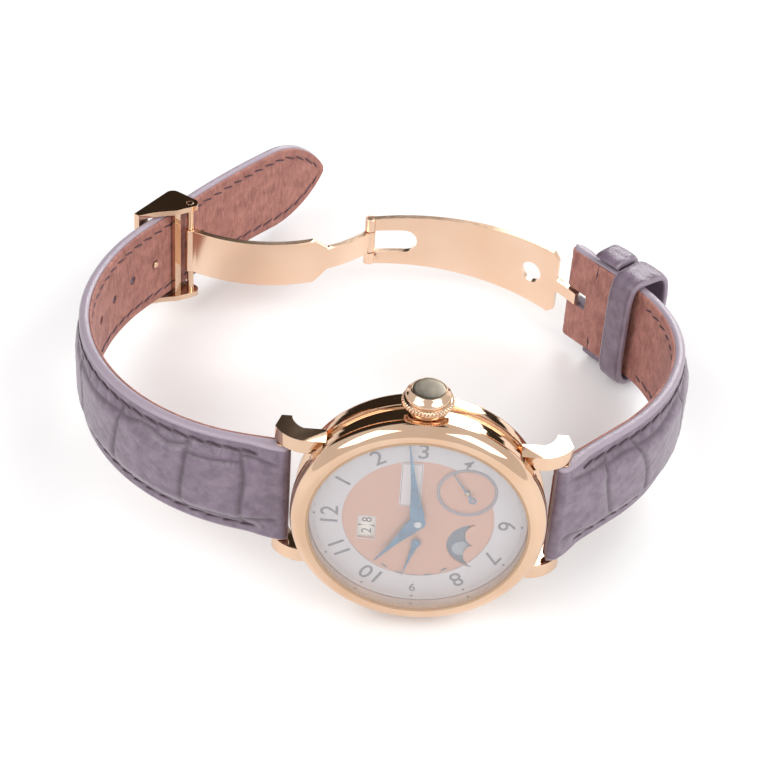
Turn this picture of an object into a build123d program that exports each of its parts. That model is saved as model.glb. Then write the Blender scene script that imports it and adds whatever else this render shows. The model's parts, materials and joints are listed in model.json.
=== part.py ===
from build123d import *
import os
from math import asin, atan2, ceil, cos, degrees, hypot, pi, radians, sin, sqrt

# A wristwatch with moon phase, large date, power reserve and small seconds, on an alligator strap with
# a folding clasp. It stands on its nine o'clock side with the clasp open.
# Lengths are millimetres. Everything is drawn in the case's own frame and laid down at the end:
# x runs towards six o'clock, y towards nine o'clock, z from the dial face towards the case back.

# Case
CASE_RADIUS = 20.0            # bezel and front flange
CHANNEL_DEPTH = 1.1
CHANNEL_RADIUS = CASE_RADIUS - CHANNEL_DEPTH  # floor of the polished channel round the case side
RIM_INSET = 0.4
RIM_RADIUS = CASE_RADIUS - RIM_INSET  # rear rim of the case middle
CASE_WALL = 2.4
CASE_BORE_RADIUS = CASE_RADIUS - CASE_WALL
BAND_FRONT = 0.15             # where the bezel sits on the case middle
FLANGE_REAR = 1.25
RIM_FRONT = 4.6
BAND_REAR = 5.9
CHANNEL_SLOPE = 0.2           # depth over which flange and rim run into the channel
BEZEL_TOP = -2.35
BEZEL_SLOPE_WIDTH = 2.0
BEZEL_TOP_RADIUS = CASE_RADIUS - BEZEL_SLOPE_WIDTH
BEZEL_WALL = 2.6
BEZEL_BORE_RADIUS = CASE_RADIUS - BEZEL_WALL
BEZEL_FACET_SHARES = ((0.03, 0.45), (0.35, 0.85))  # corners between flange and top edge
LEDGE_WIDTH = 0.3
LEDGE_RADIUS = BEZEL_BORE_RADIUS - LEDGE_WIDTH  # ledge under the crystal, which frames the dial
CRYSTAL_TOP = -2.6
CRYSTAL_THICKNESS = 1.2
CRYSTAL_BEVEL = 0.3
CRYSTAL_BEVEL_WIDTH = 0.9
GASKET_WIDTH = 0.4
SEAT_GAP = 0.02               # play between a pressed or laid-in piece and its seat
OVERRUN = 1.0                 # how far a cutter runs past what it cuts
SMALL_SIDES = 12              # flats of small screws, jewels and pivot holes

# Case back
BACK_INSET = 0.7
BACK_RADIUS = CASE_RADIUS - BACK_INSET
BACK_FRAME_WIDTH = 4.1
BACK_OPENING_RADIUS = BACK_RADIUS - BACK_FRAME_WIDTH
BACK_LEDGE_WIDTH = 0.6
BACK_CRYSTAL_RADIUS = BACK_OPENING_RADIUS + BACK_LEDGE_WIDTH
BACK_CRYSTAL_THICKNESS = 0.8
BACK_LIP = 1.05               # glass ledge of the case back above the case middle
BACK_REAR = 7.85
BACK_EDGE_SLOPE = 0.6
BACK_GASKET_WIDTH = 0.5       # seal in the case bore, between movement ring and case back
BACK_GASKET_DEPTH = 0.45
BACK_SCREW_INSET = 1.15
BACK_SCREW_CIRCLE = BACK_RADIUS - BACK_SCREW_INSET
BACK_SCREW_COUNT = 6
BACK_SCREW_RADIUS = 0.3
BACK_SCREW_HEAD_RADIUS = 0.5
BACK_SCREW_HEAD = 0.5
BACK_SCREW_LENGTH = 2.6

# Lugs and the spring bars between them
LUG_BAR_FROM_CASE = 1.8
LUG_BAR_X = CASE_RADIUS + LUG_BAR_FROM_CASE
LUG_BAR_Z = 4.6
LUG_GAP = 20.0
LUG_THICKNESS = 2.5
LUG_TIP_FROM_BAR = 1.2
LUG_REACH = LUG_BAR_X + LUG_TIP_FROM_BAR  # lug tip from the case centre
LUG_FRONT_Z = 2.1
LUG_TIP_FRONT_Z = 5.3
LUG_TIP_REAR_Z = 8.0
LUG_TIP_WIDTH = 1.6
LUG_ROOT_DEPTH = 5.0
LUG_ROOT_X = CASE_RADIUS - LUG_ROOT_DEPTH
LUG_ROOT_REAR_Z = 5.2
SPRING_BAR_RADIUS = 0.85
SPRING_BAR_TIP_RADIUS = 0.45
SPRING_BAR_TIP = 1.0
SPRING_BAR_SHOULDER_GAP = 0.15
PIVOT_CLEARANCE = 0.06        # radial running clearance of hinges

# Crown, stem and tube at three o'clock
STEM_Z = 2.9
CROWN_RADIUS = 4.1
CROWN_NECK_RADIUS = 3.4
CROWN_NECK = 0.9
CROWN_KNURL = 0.95
CROWN_GROOVE_RADIUS = 3.2
CROWN_GROOVE = 0.3
CROWN_STEP_RADIUS = 3.55
CROWN_STEP = 0.6
CROWN_DISC_RADIUS = 2.35
CROWN_DOME = 0.95
CROWN_GAP = 0.15              # crown from the case when pushed in
CROWN_TRAVEL = 1.2
CROWN_POCKET_RADIUS = 2.2
TUBE_RADIUS = 1.25
TUBE_BORE_RADIUS = 0.75
TUBE_PROUD = 1.3              # tube beyond the channel floor, inside the crown
STEM_RADIUS = 0.68
STEM_SQUARE = 0.7
STEM_INNER_END = 10.2         # inner end of the stem from the case centre
PINION_INNER = 12.4           # winding pinion, from the case centre
PINION_LENGTH = 1.6
PINION_RADIUS = 0.95
PINION_BORE_SIDE = 0.76
PINION_TEETH = 12

# Dial
DIAL_PLAY = 0.35
DIAL_RADIUS = CASE_BORE_RADIUS - DIAL_PLAY
DIAL_THICKNESS = 0.4
CHAPTER_THICKNESS = 0.2
CHAPTER_INNER_RADIUS = 11.85
CHAPTER_INSET = 0.25
CHAPTER_OUTER_RADIUS = DIAL_RADIUS - CHAPTER_INSET
SECONDS_X = 7.2
SECONDS_Y = -6.25
SECONDS_RING_RADIUS = 4.7
SECONDS_RING_WIDTH = 0.45
SECONDS_RING_PROUD = 0.08
RESERVE_Y = 4.65              # power reserve pivot, towards nine o'clock
MOON_X = 9.6
MOON_Y = 4.75
MOON_DISC_RADIUS = 5.3
MOON_WINDOW_X = 9.1
MOON_WINDOW_RADIUS = 4.35
MOON_HUMP_X = 9.85
MOON_HUMP_SPREAD = 2.1
MOON_HUMP_RADIUS = 2.3
MOON_EDGE_SHARE = 0.35         # how far the window's edge lies into the humps
DATE_X = -7.93
DATE_Y = 2.47
DATE_WINDOW_HIGH = 2.55
DATE_WINDOW_WIDE = 4.55
DATE_DIGIT_REACH = 1.15       # half of one digit's field
UNITS_DIGIT_RADIUS = 4.2
TENS_DIGIT_RADIUS = 2.0
PLATE_X = -1.5
PLATE_Y = -7.0
PLATE_HIGH = 3.35
PLATE_LONG = 8.6
PLATE_THICKNESS = 0.15
DISC_THICKNESS = 0.2
DISC_DEPTH = 0.15             # discs below the dial's rear face
DISC_HUB_RADIUS = 0.75
DISC_POST_RADIUS = 0.3
DIAL_HOLE_RADIUS = 1.05
SMALL_HOLE_RADIUS = 0.45

# Hands, shown at 10:13:38
HAND_THICKNESS = 0.15
MINUTE_HAND_LENGTH = 15.9
MINUTE_HAND_WIDTH = 2.5
MINUTE_HAND_Z = -1.0
MINUTE_AT = 13.63
HOUR_HAND_LENGTH = 10.9
HOUR_HAND_WIDTH = 2.7
HOUR_HAND_Z = -0.65
HOURS_AT = 10
SECONDS_HAND_LENGTH = 4.3
SECONDS_HAND_WIDTH = 0.35
SECONDS_HAND_TAIL = 2.3
SECONDS_HAND_RING_RADIUS = 0.6
SECONDS_HAND_RING_BORE = 0.35
SECONDS_HAND_Z = -0.3
SECONDS_AT = 9.5
RESERVE_HAND_LENGTH = 7.1
RESERVE_HAND_WIDTH = 1.5
RESERVE_HAND_Z = -0.3
RESERVE_AT = 15.6             # degrees from nine o'clock towards twelve
HAND_TIP_WIDTH = 0.12
LEAF_REACH = 0.39             # power that sets how near the hub a leaf hand is widest
LEAF_TAPER = 4.2              # power that draws the leaf out to a thin point
LEAF_START_SHARE = 0.04
LEAF_STEPS = 14
HAND_HUB_SHARE = 0.42         # hub radius of the widest part
SMALL_HUB_RADIUS = 0.4
CENTRE_ARBOR_RADIUS = 0.45
CENTRE_CAP_RADIUS = 0.62
CENTRE_CAP = 0.2
HOUR_PIPE_RADIUS = 0.85
RUNNING_GAP = 0.04            # radial clearance of arbors and pipes

# Movement
RING_PLAY = 0.1
RING_RADIUS = CASE_BORE_RADIUS - RING_PLAY
RING_WALL = 0.55
PLATE_PLAY = 0.15
PLATE_RADIUS = RING_RADIUS - RING_WALL - PLATE_PLAY
MAIN_PLATE_FRONT = 1.6
MAIN_PLATE_REAR = 3.2
BRIDGE_FRONT = 4.85
BRIDGE_REAR = 5.4
BRIDGE_INSET = 1.0
BRIDGE_RADIUS = PLATE_RADIUS - BRIDGE_INSET
BRIDGE_SPLIT_Y = -1.5         # line between train bridge and barrel bridge
BRIDGE_GAP = 0.3
BRIDGE_FOOT_INSET = 1.2
BRIDGE_FOOT_CIRCLE = BRIDGE_RADIUS - BRIDGE_FOOT_INSET
BRIDGE_FOOT_RADIUS = 1.1
TRAIN_FOOT_ANGLES = (-28, -62, -118, -165)
BARREL_FOOT_ANGLES = (172, 135, 82)
BALANCE_ROOM = 0.6            # bridges from the balance rim
COCK_FRONT = 5.3
COCK_REAR = 5.8
COCK_ANGLE = 78
COCK_REACH = 6.2
COCK_HEAD_RADIUS = 1.3
COCK_FOOT_RADIUS = 1.5
RING_FRONT = 0.65
RING_REAR = 5.4
STEM_SLOT_MARGIN = 0.15
WHEEL_THICKNESS = 0.2
LEVEL_LOW = 3.4               # centre wheel and escape wheel
LEVEL_MID = 3.8               # third wheel
LEVEL_HIGH = 4.3              # fourth wheel and barrel teeth
ARBOR_RADIUS = 0.25
PIVOT_DEPTH = 0.6             # arbors reach this far into the main plate
PINION_MARGIN = 0.05          # pinion beyond each face of the wheel that it meshes with
TRAIN_MODULE = 0.14
CENTRE_TEETH = 64
THIRD_TEETH = 60
PINION_LEAVES = 8
FOURTH_TEETH = 70
ESCAPE_LEAVES = 7
ESCAPE_MODULE = 0.11
BARREL_TEETH = 72
BARREL_LEAVES = 9
BARREL_MODULE = 0.17
BARREL_ANGLE = 143.0          # direction of the barrel from the centre, from six o'clock to nine
BARREL_DRUM_FRONT = 3.8
BARREL_DRUM_REAR = 4.7
BARREL_RIM = 0.5              # drum wall inside the tooth roots
BARREL_ARBOR_RADIUS = 0.5
HOUR_WHEEL_TEETH = 24
HOUR_WHEEL_RADIUS = 3.0
HOUR_WHEEL_FRONT = 1.15
TOOTH_HEIGHT_SHARE = 0.8      # tooth above and root below the pitch circle, in modules
ROOT_SHARE = 1.1
ESCAPE_ANGLE = 52.2            # direction of the escape wheel from the fourth wheel
ESCAPE_RADIUS = 2.3
ESCAPE_WHEEL_TEETH = 15
BALANCE_X = 9.3
BALANCE_Y = 3.7
BALANCE_RADIUS = 4.3
BALANCE_RIM = 0.45
BALANCE_RIM_THICKNESS = 0.5
BALANCE_FRONT = 4.05
BALANCE_ARM = 0.6
BALANCE_STAFF_RADIUS = 0.2
ROLLER_RADIUS = 0.8
COLLET_RADIUS = 0.5
PALLET_SHARE = 0.47           # pallet pivot, from the escape wheel's centre to the balance's
PALLET_ARM = 1.7
PALLET_ARM_WIDTH = 0.4
PALLET_STONE = 0.45
PALLET_LEVER_WIDTH = 0.35
PALLET_LEVER_GAP = 0.25       # lever tip from the roller
PALLET_BRIDGE_FRONT = 3.72
PALLET_BRIDGE_REAR = 3.95
PALLET_BRIDGE_REACH = 2.6
PALLET_BRIDGE_WIDTH = 1.2
HAIRSPRING_FRONT = 4.75
HAIRSPRING_HEIGHT = 0.2
HAIRSPRING_WIRE = 0.08
HAIRSPRING_START = 0.62
HAIRSPRING_STEP = 0.25        # half turns grow by this, so coils lie twice as far apart
HAIRSPRING_HALF_TURNS = 11
HAIRSPRING_STEPS = 10         # straight stretches in a half turn
STUD_HOLDER_RADIUS = 0.25
ROTOR_FRONT = 6.05
ROTOR_THICKNESS = 0.35
ROTOR_INSET = 0.3              # rotor inside the display back's opening
ROTOR_RADIUS = BACK_OPENING_RADIUS - ROTOR_INSET
ROTOR_RIM_WIDTH = 2.3
ROTOR_RIM_THICKNESS = 0.8
ROTOR_HUB_RADIUS = 2.4
ROTOR_WINDOW_INNER = 4.4
ROTOR_WINDOW_MARGIN = 1.4
ROTOR_SPOKE = 1.6
ROTOR_SPOKE_ANGLES = (60, 120)
ROTOR_POST_RADIUS = 0.9
ROTOR_POST_HEAD_RADIUS = 1.5
ROTOR_POST_HEAD = 0.25
JEWEL_RADIUS = 0.55
JEWEL_THICKNESS = 0.3
BRIDGE_SCREW_RADIUS = 0.4
BRIDGE_SCREW_HEAD_RADIUS = 0.8
BRIDGE_SCREW_HEAD = 0.3

# Strap
STRAP_HALF_WIDTH = 9.7        # at the lugs
STRAP_TAIL_HALF_WIDTH = 8.5
BAR_TO_LINING = 1.5           # lug bar centre to the lining's face
LINING_THICKNESS = 0.9
CROWN_SHARES = ((0.86, 0.45), (0.55, 0.85), (0.18, 1.0))  # outside of the section, from edge to middle
STRAP_EDGE = 2.2              # strap thickness at its painted edges
LONG_HEADING = 172.0          # degrees from six o'clock towards the case back
LONG_STRAIGHT = 5.6
LONG_WRIST_RADIUS = 34.0
LONG_WRIST_TURN = 85.0
LONG_REAR_RADIUS = 39.0
LONG_REAR_TURN = 30.0
TAIL_STRAIGHT = 13.2
TAIL_RADIUS = 150.0
TAIL_TURN = 13.0
SHORT_HEADING = 45.5
SHORT_STRAIGHT = 14.3
SHORT_WRIST_RADIUS = 35.0
SHORT_WRIST_TURN = 31.7
SHORT_REAR_RADIUS = 23.5
SHORT_REAR_TURN = 57.2
SHORT_END_STRAIGHT = 12.5
STRAP_NOSE_RADIUS = 1.5
NOSE_LENGTH = 2.0             # unlined stretch that folds round the bar
STRAP_CROWN = 4.0             # thickest part, just behind the lugs
STRAP_CROWN_AT = 7.0
STRAP_CROWN_END = 17.0
STRAP_THIN_AT = 62.0
LONG_THIN = 2.45
SHORT_THIN_AT = 52.0
SHORT_FOLD_THICKNESS = 3.0    # leather folded back round the clasp bar
SHORT_END_HALF_WIDTH = 9.4
STATION_STEP = 7.0
TAIL_POINT_LENGTH = 13.0      # the tail narrows to its point over this length
TAIL_ROUND = 2.0               # powers that set how full the pointed end is
TAIL_POINT = 0.75
TAIL_TIP_SHARES = (0.25, 0.5, 0.72, 0.88, 0.96)
STRAP_HOLE_RADIUS = 0.8
STRAP_HOLE_PITCH = 6.4
HOLES_BEFORE_STUD = 3
HOLES_AFTER_STUD = 2

# Buckle, measured along the strap's inner face and outwards from it
STUD_AT = 78.2
STUD_RADIUS = 0.65
STUD_PROUD = 0.3
CHEEK_GAP = 0.35
CHEEK_THICKNESS = 1.0
CROSSBAR_BEHIND = 1.2         # crossbar's edge behind the stud's centre
CROSSBAR_WIDTH = 2.4
CROSSBAR_CLEAR = 0.45
CROSSBAR_THICKNESS = 1.1
CHEEK_APEX_HEIGHT = 3.9
CHEEK_WAIST_SHARES = (0.45, 0.3)  # middle of the cheek's hollow underside, along and up
FRAME_BAR_START = 4.3
FRAME_BAR_WIDTH = 1.5
FRAME_BAR_THICKNESS = 0.7
FRAME_BAR_GAP = 0.3
HINGE_FROM_STUD = 7.8
HINGE_BELOW = 1.55            # pin centre inside the lining's face
PIN_RADIUS = 0.6
KNUCKLE_RADIUS = 1.0
CHEEK_EYE_RADIUS = 1.45

# Folding blades
CLASP_HINGE_X = -11.5
CLASP_HINGE_Z = 75.6
BLADE_THICKNESS = 1.1
INNER_BLADE_HALF_WIDTH = 4.4
INNER_BLADE_SAGITTA = 6.0
TONGUE_HALF_WIDTH = 2.15
TONGUE_LENGTH = 8.6
TONGUE_SHOULDER = 2.6
OUTER_BLADE_SAGITTA = 5.8
OUTER_BLADE_HALF_WIDTH = 4.75
OUTER_BLADE_END_HALF_WIDTH = 6.4
OUTER_BLADE_END_GAP = 3.9     # end edge of the blade from the strap end bar
OUTER_BLADE_CORNER = 1.3
SIDE_PLAY = 0.2
SLOT_LENGTH = 8.0
BLADE_HOLE_RADIUS = 2.0
BLADE_HOLE_FROM_END = 5.4
TAB_HALF_WIDTH = 1.15
TAB_GAP = 0.35                # tab from the strap end bar that it carries
TAB_OVERHANG = 0.9
NOTCH_HALF_WIDTH = 1.6
NOTCH_DEPTH = 3.6
END_BAR_RADIUS = 0.7
END_BAR_INSET = 0.3

# Keepers
KEEPER_WIDTH = 5.2
KEEPER_LEATHER = 1.3
KEEPER_SIDE_GAP = 0.35
KEEPER_ROOM = 2.9             # room over the short strap for the tail
FIXED_KEEPER_AT = 63.2
FREE_KEEPER_AT = 56.9
FREE_KEEPER_LINING_GAP = 1.0
FREE_KEEPER_ROOM = 3.1

# Rounds of the search for the lowest point of the case rim, as the watch lies on the table
REST_STEPS = 8

BASE = (Align.CENTER, Align.CENTER, Align.MIN)


def disc(radius, front, rear, x=0, y=0):
    """A round slab about an axis parallel to the case's own."""
    return Pos(x, y, front) * Cylinder(radius, rear - front, align=BASE)


def small_disc(radius, front, rear, x=0, y=0):
    """A small pin or head with a few flats in place of a round, its corners on the radius."""
    prism = extrude(RegularPolygon(radius, SMALL_SIDES), rear - front)
    return Pos(x, y, front) * prism


def small_hole(radius, front, rear, x=0, y=0):
    """A hole with as many flats, which a round pin of the radius just passes."""
    return small_disc(radius / cos(pi / SMALL_SIDES), front, rear, x, y)


def ring(radius, bore, front, rear, x=0, y=0):
    """A flat ring between two depths."""
    return disc(radius, front, rear, x, y) - disc(bore, front - OVERRUN, rear + OVERRUN, x, y)


def turned(points):
    """A solid turned about the case axis from (radius, depth) corners."""
    face = make_face(Polyline(*[(r, 0, z) for r, z in points], close=True))
    return revolve(face, Axis.Z)


def small_bar(radius, x, z, y_low, y_high):
    """A thin pin parallel to the lug bars, with a few flats."""
    return Pos(x, y_low, z) * Rot(-90, 0, 0) * small_disc(radius, 0, y_high - y_low)


def bar_along_y(radius, x, z, y_low, y_high):
    """A round bar parallel to the lug bars."""
    return Pos(x, y_low, z) * Rot(-90, 0, 0) * Cylinder(radius, y_high - y_low, align=BASE)


def toothed(teeth, module, front, rear, x=0, y=0, first_tooth=0.0):
    """A spur wheel or pinion with straight flanks that meet at tip and root, its first tip at first_tooth."""
    pitch_radius = teeth * module / 2
    tip = pitch_radius + TOOTH_HEIGHT_SHARE * module
    root = pitch_radius - ROOT_SHARE * module
    points = []
    for flank in range(2 * teeth):
        angle = radians(first_tooth) + flank * pi / teeth
        radius = root if flank % 2 else tip
        points.append((x + radius * cos(angle), y + radius * sin(angle)))
    return Pos(0, 0, front) * extrude(make_face(Polyline(*points, close=True)), rear - front)


def meshed(first_tooth, teeth, direction, driven_teeth):
    """Angle of a wheel's tooth that puts its gap on the tooth of the wheel it meshes with."""
    offset = (first_tooth - direction) / (360 / teeth)
    return direction + 180 - (offset - 0.5) * 360 / driven_teeth


# Case middle, bezel, glasses and seals

def lug_outline():
    """One lug seen from the side of the case: level in front, then hooked back to a cut tip."""
    tip_front = (LUG_REACH, LUG_TIP_FRONT_Z)
    tip_rear = (LUG_REACH - LUG_TIP_WIDTH / 2, LUG_TIP_REAR_Z)
    tip_inner = (tip_rear[0] - LUG_TIP_WIDTH, LUG_TIP_REAR_Z)
    front_bend = (LUG_BAR_X - LUG_TIP_WIDTH * 2, LUG_FRONT_Z)
    front_middle = (
        (front_bend[0] + tip_front[0] + LUG_TIP_WIDTH / 2) / 2, (LUG_FRONT_Z * 2 + LUG_TIP_FRONT_Z) / 3
    )
    rear_bend = (LUG_BAR_X - LUG_TIP_WIDTH * 2, LUG_ROOT_REAR_Z)
    rear_middle = (
        (rear_bend[0] + tip_inner[0] + LUG_TIP_WIDTH / 4) / 2, (LUG_ROOT_REAR_Z * 2 + LUG_TIP_REAR_Z) / 3
    )
    return [
        Line((LUG_ROOT_X, LUG_FRONT_Z), front_bend),
        ThreePointArc(front_bend, front_middle, tip_front),
        Line(tip_front, tip_rear),
        Line(tip_rear, tip_inner),
        ThreePointArc(tip_inner, rear_middle, rear_bend),
        Line(rear_bend, (LUG_ROOT_X, LUG_ROOT_REAR_Z)),
        Line((LUG_ROOT_X, LUG_ROOT_REAR_Z), (LUG_ROOT_X, LUG_FRONT_Z)),
    ]


def make_mid_case():
    body = turned([
        (CASE_BORE_RADIUS, BAND_FRONT), (CASE_RADIUS, BAND_FRONT), (CASE_RADIUS, FLANGE_REAR),
        (CHANNEL_RADIUS, FLANGE_REAR + CHANNEL_SLOPE), (CHANNEL_RADIUS, RIM_FRONT),
        (RIM_RADIUS, RIM_FRONT + CHANNEL_SLOPE), (RIM_RADIUS, BAND_REAR), (CASE_BORE_RADIUS, BAND_REAR),
    ])
    profile = Plane.XZ * make_face(lug_outline())
    lug = extrude(profile, LUG_THICKNESS)
    bore = disc(CASE_BORE_RADIUS, BAND_FRONT - OVERRUN, LUG_TIP_REAR_Z + OVERRUN)
    for y in (-LUG_GAP / 2, LUG_GAP / 2 + LUG_THICKNESS):
        for turn in (0, 180):
            # turning a lug half way round also changes its side, so both sides get both ends
            body += Rot(0, 0, turn) * Pos(0, y, 0) * lug - bore
    depth = SPRING_BAR_TIP + SPRING_BAR_SHOULDER_GAP
    for x in (-LUG_BAR_X, LUG_BAR_X):
        tip = SPRING_BAR_TIP_RADIUS + SEAT_GAP
        body -= small_bar(tip, x, LUG_BAR_Z, -LUG_GAP / 2 - depth, LUG_GAP / 2 + depth)
    for x, y in back_screw_places():
        body -= small_hole(
            BACK_SCREW_RADIUS + SEAT_GAP, BACK_REAR - BACK_SCREW_LENGTH - SEAT_GAP, BAND_REAR + OVERRUN, x, y
        )
    tube_bore = TUBE_RADIUS + SEAT_GAP
    return body - bar_along_y(tube_bore, 0, STEM_Z, -CASE_RADIUS - OVERRUN, -CASE_BORE_RADIUS + OVERRUN * 2)


def make_bezel():
    """A broad rounded ring in three facets, with the crystal's seat inside."""
    crystal_floor = CRYSTAL_TOP + CRYSTAL_THICKNESS
    height = BAND_FRONT - BEZEL_TOP
    width = CASE_RADIUS - BEZEL_TOP_RADIUS
    facets = [
        (CASE_RADIUS - width * across, BAND_FRONT - height * up) for across, up in BEZEL_FACET_SHARES
    ]
    return turned([
        (CASE_RADIUS, BAND_FRONT), *facets, (BEZEL_TOP_RADIUS, BEZEL_TOP), (BEZEL_BORE_RADIUS, BEZEL_TOP),
        (BEZEL_BORE_RADIUS, crystal_floor), (LEDGE_RADIUS, crystal_floor), (LEDGE_RADIUS, BAND_FRONT),
    ])


def make_front_crystal():
    radius = BEZEL_BORE_RADIUS - GASKET_WIDTH
    floor = CRYSTAL_TOP + CRYSTAL_THICKNESS
    return turned([
        (0, floor), (radius, floor), (radius, CRYSTAL_TOP + CRYSTAL_BEVEL),
        (radius - CRYSTAL_BEVEL_WIDTH, CRYSTAL_TOP), (0, CRYSTAL_TOP),
    ])


def make_crystal_gasket():
    floor = CRYSTAL_TOP + CRYSTAL_THICKNESS
    return ring(BEZEL_BORE_RADIUS, BEZEL_BORE_RADIUS - GASKET_WIDTH, BEZEL_TOP, floor)


def back_screw_places():
    step = 360 / BACK_SCREW_COUNT
    return [
        (BACK_SCREW_CIRCLE * cos(radians((i + 0.5) * step)), BACK_SCREW_CIRCLE * sin(radians((i + 0.5) * step)))
        for i in range(BACK_SCREW_COUNT)
    ]


def make_case_back():
    lip = BAND_REAR + BACK_LIP
    body = turned([
        (BACK_OPENING_RADIUS, BAND_REAR), (BACK_RADIUS, BAND_REAR), (BACK_RADIUS, lip),
        (BACK_RADIUS - BACK_EDGE_SLOPE, BACK_REAR), (BACK_CRYSTAL_RADIUS + SEAT_GAP, BACK_REAR),
        (BACK_CRYSTAL_RADIUS + SEAT_GAP, lip), (BACK_OPENING_RADIUS, lip),
    ])
    for x, y in back_screw_places():
        body -= small_hole(BACK_SCREW_RADIUS + SEAT_GAP, BAND_REAR - OVERRUN, BACK_REAR + OVERRUN, x, y)
        body -= small_hole(
            BACK_SCREW_HEAD_RADIUS + SEAT_GAP, BACK_REAR - BACK_SCREW_HEAD, BACK_REAR + OVERRUN, x, y
        )
    return body


def make_back_screws():
    group = []
    for x, y in back_screw_places():
        seat = BACK_REAR - BACK_SCREW_HEAD
        screw = small_disc(BACK_SCREW_HEAD_RADIUS, seat, BACK_REAR, x, y)
        screw += small_disc(BACK_SCREW_RADIUS, BACK_REAR - BACK_SCREW_LENGTH, seat, x, y)
        group.append(screw)
    return group


def make_back_gasket():
    outer = CASE_BORE_RADIUS - SEAT_GAP
    return ring(
        outer, outer - BACK_GASKET_WIDTH, BAND_REAR - SEAT_GAP - BACK_GASKET_DEPTH, BAND_REAR - SEAT_GAP
    )


def make_back_crystal():
    front = BAND_REAR + BACK_LIP
    return disc(BACK_CRYSTAL_RADIUS, front, front + BACK_CRYSTAL_THICKNESS)


def make_spring_bars():
    reach = LUG_GAP / 2
    group = []
    for x in (-LUG_BAR_X, LUG_BAR_X):
        bar = bar_along_y(
            SPRING_BAR_RADIUS, x, LUG_BAR_Z, -reach + SPRING_BAR_SHOULDER_GAP, reach - SPRING_BAR_SHOULDER_GAP
        )
        bar += small_bar(SPRING_BAR_TIP_RADIUS, x, LUG_BAR_Z, -reach - SPRING_BAR_TIP, reach + SPRING_BAR_TIP)
        group.append(bar)
    return group


# Crown and winding stem, along the three o'clock direction

def along_stem(points):
    """A solid turned about the stem from (radius, distance from the case centre) corners."""
    face = make_face(Polyline(*[(r, -d, 0) for r, d in points], close=True))
    return Pos(0, 0, STEM_Z) * revolve(face, Axis.Y)


def make_crown_tube():
    inner = CASE_BORE_RADIUS + SEAT_GAP
    outer = CHANNEL_RADIUS + TUBE_PROUD
    body = bar_along_y(TUBE_RADIUS, 0, STEM_Z, -outer, -inner)
    return body - bar_along_y(TUBE_BORE_RADIUS, 0, STEM_Z, -outer - OVERRUN, -inner + OVERRUN)


def make_crown():
    start = CASE_RADIUS + CROWN_GAP
    knurl = start + CROWN_NECK
    groove = knurl + CROWN_KNURL
    step = groove + CROWN_GROOVE
    dome = step + CROWN_STEP
    pocket_floor = CHANNEL_RADIUS + TUBE_PROUD + CROWN_GAP
    return along_stem([
        (CROWN_POCKET_RADIUS, start), (CROWN_NECK_RADIUS, start), (CROWN_NECK_RADIUS, knurl),
        (CROWN_RADIUS, knurl), (CROWN_RADIUS, groove), (CROWN_GROOVE_RADIUS, groove),
        (CROWN_GROOVE_RADIUS, step), (CROWN_STEP_RADIUS, step), (CROWN_STEP_RADIUS, dome),
        (CROWN_DISC_RADIUS, dome + CROWN_DOME), (0, dome + CROWN_DOME), (0, pocket_floor),
        (CROWN_POCKET_RADIUS, pocket_floor),
    ])


def make_winding_stem():
    """Round where it runs in the tube, square where it carries the winding pinion."""
    crown_face = CHANNEL_RADIUS + TUBE_PROUD + CROWN_GAP
    square_end = PINION_INNER + PINION_LENGTH + CROWN_TRAVEL
    body = bar_along_y(STEM_RADIUS, 0, STEM_Z, -crown_face, -square_end)
    length = square_end - STEM_INNER_END
    shank = Box(STEM_SQUARE, length, STEM_SQUARE)
    return body + Pos(0, -(square_end + STEM_INNER_END) / 2, STEM_Z) * shank


def make_winding_pinion():
    teeth = toothed(PINION_TEETH, 2 * PINION_RADIUS / PINION_TEETH, 0, PINION_LENGTH)
    teeth -= Box(PINION_BORE_SIDE, PINION_BORE_SIDE, PINION_LENGTH * 3)
    return Pos(0, -PINION_INNER, STEM_Z) * Rot(90, 0, 0) * teeth


# Dial

def moon_window(front, rear):
    """The opening over the moon disc: a round window whose outer side is closed by two half-round humps."""
    opening = disc(MOON_WINDOW_RADIUS, front, rear, MOON_WINDOW_X, MOON_Y)
    for side in (-1, 1):
        opening -= disc(
            MOON_HUMP_RADIUS, front - OVERRUN, rear + OVERRUN, MOON_HUMP_X, MOON_Y + side * MOON_HUMP_SPREAD
        )
    reach = MOON_WINDOW_RADIUS * 2
    shade = Box(reach, reach * 2, (rear - front) * 3)
    edge = MOON_HUMP_X - MOON_HUMP_RADIUS * MOON_EDGE_SHARE
    return opening - Pos(edge + reach / 2, MOON_Y, (front + rear) / 2) * shade


def make_dial_plate():
    front = CHAPTER_THICKNESS
    rear = front + DIAL_THICKNESS
    plate = disc(DIAL_RADIUS, front, rear)
    plate -= moon_window(front - OVERRUN, rear + OVERRUN)
    window = Box(DATE_WINDOW_HIGH, DATE_WINDOW_WIDE, DIAL_THICKNESS * 3)
    plate -= Pos(DATE_X, DATE_Y, (front + rear) / 2) * window
    plate -= small_hole(DIAL_HOLE_RADIUS, front - OVERRUN, rear + OVERRUN)
    for x, y in ((SECONDS_X, SECONDS_Y), (0, RESERVE_Y)):
        plate -= small_hole(SMALL_HOLE_RADIUS, front - OVERRUN, rear + OVERRUN, x, y)
    return plate


def make_chapter_ring():
    body = ring(CHAPTER_OUTER_RADIUS, CHAPTER_INNER_RADIUS, 0, CHAPTER_THICKNESS)
    body -= disc(SECONDS_RING_RADIUS + SEAT_GAP, -OVERRUN, CHAPTER_THICKNESS + OVERRUN, SECONDS_X, SECONDS_Y)
    return body - moon_window(-OVERRUN, CHAPTER_THICKNESS + OVERRUN)


def make_seconds_ring():
    bore = SECONDS_RING_RADIUS - SECONDS_RING_WIDTH
    return ring(SECONDS_RING_RADIUS, bore, -SECONDS_RING_PROUD, CHAPTER_THICKNESS, SECONDS_X, SECONDS_Y)


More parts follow.
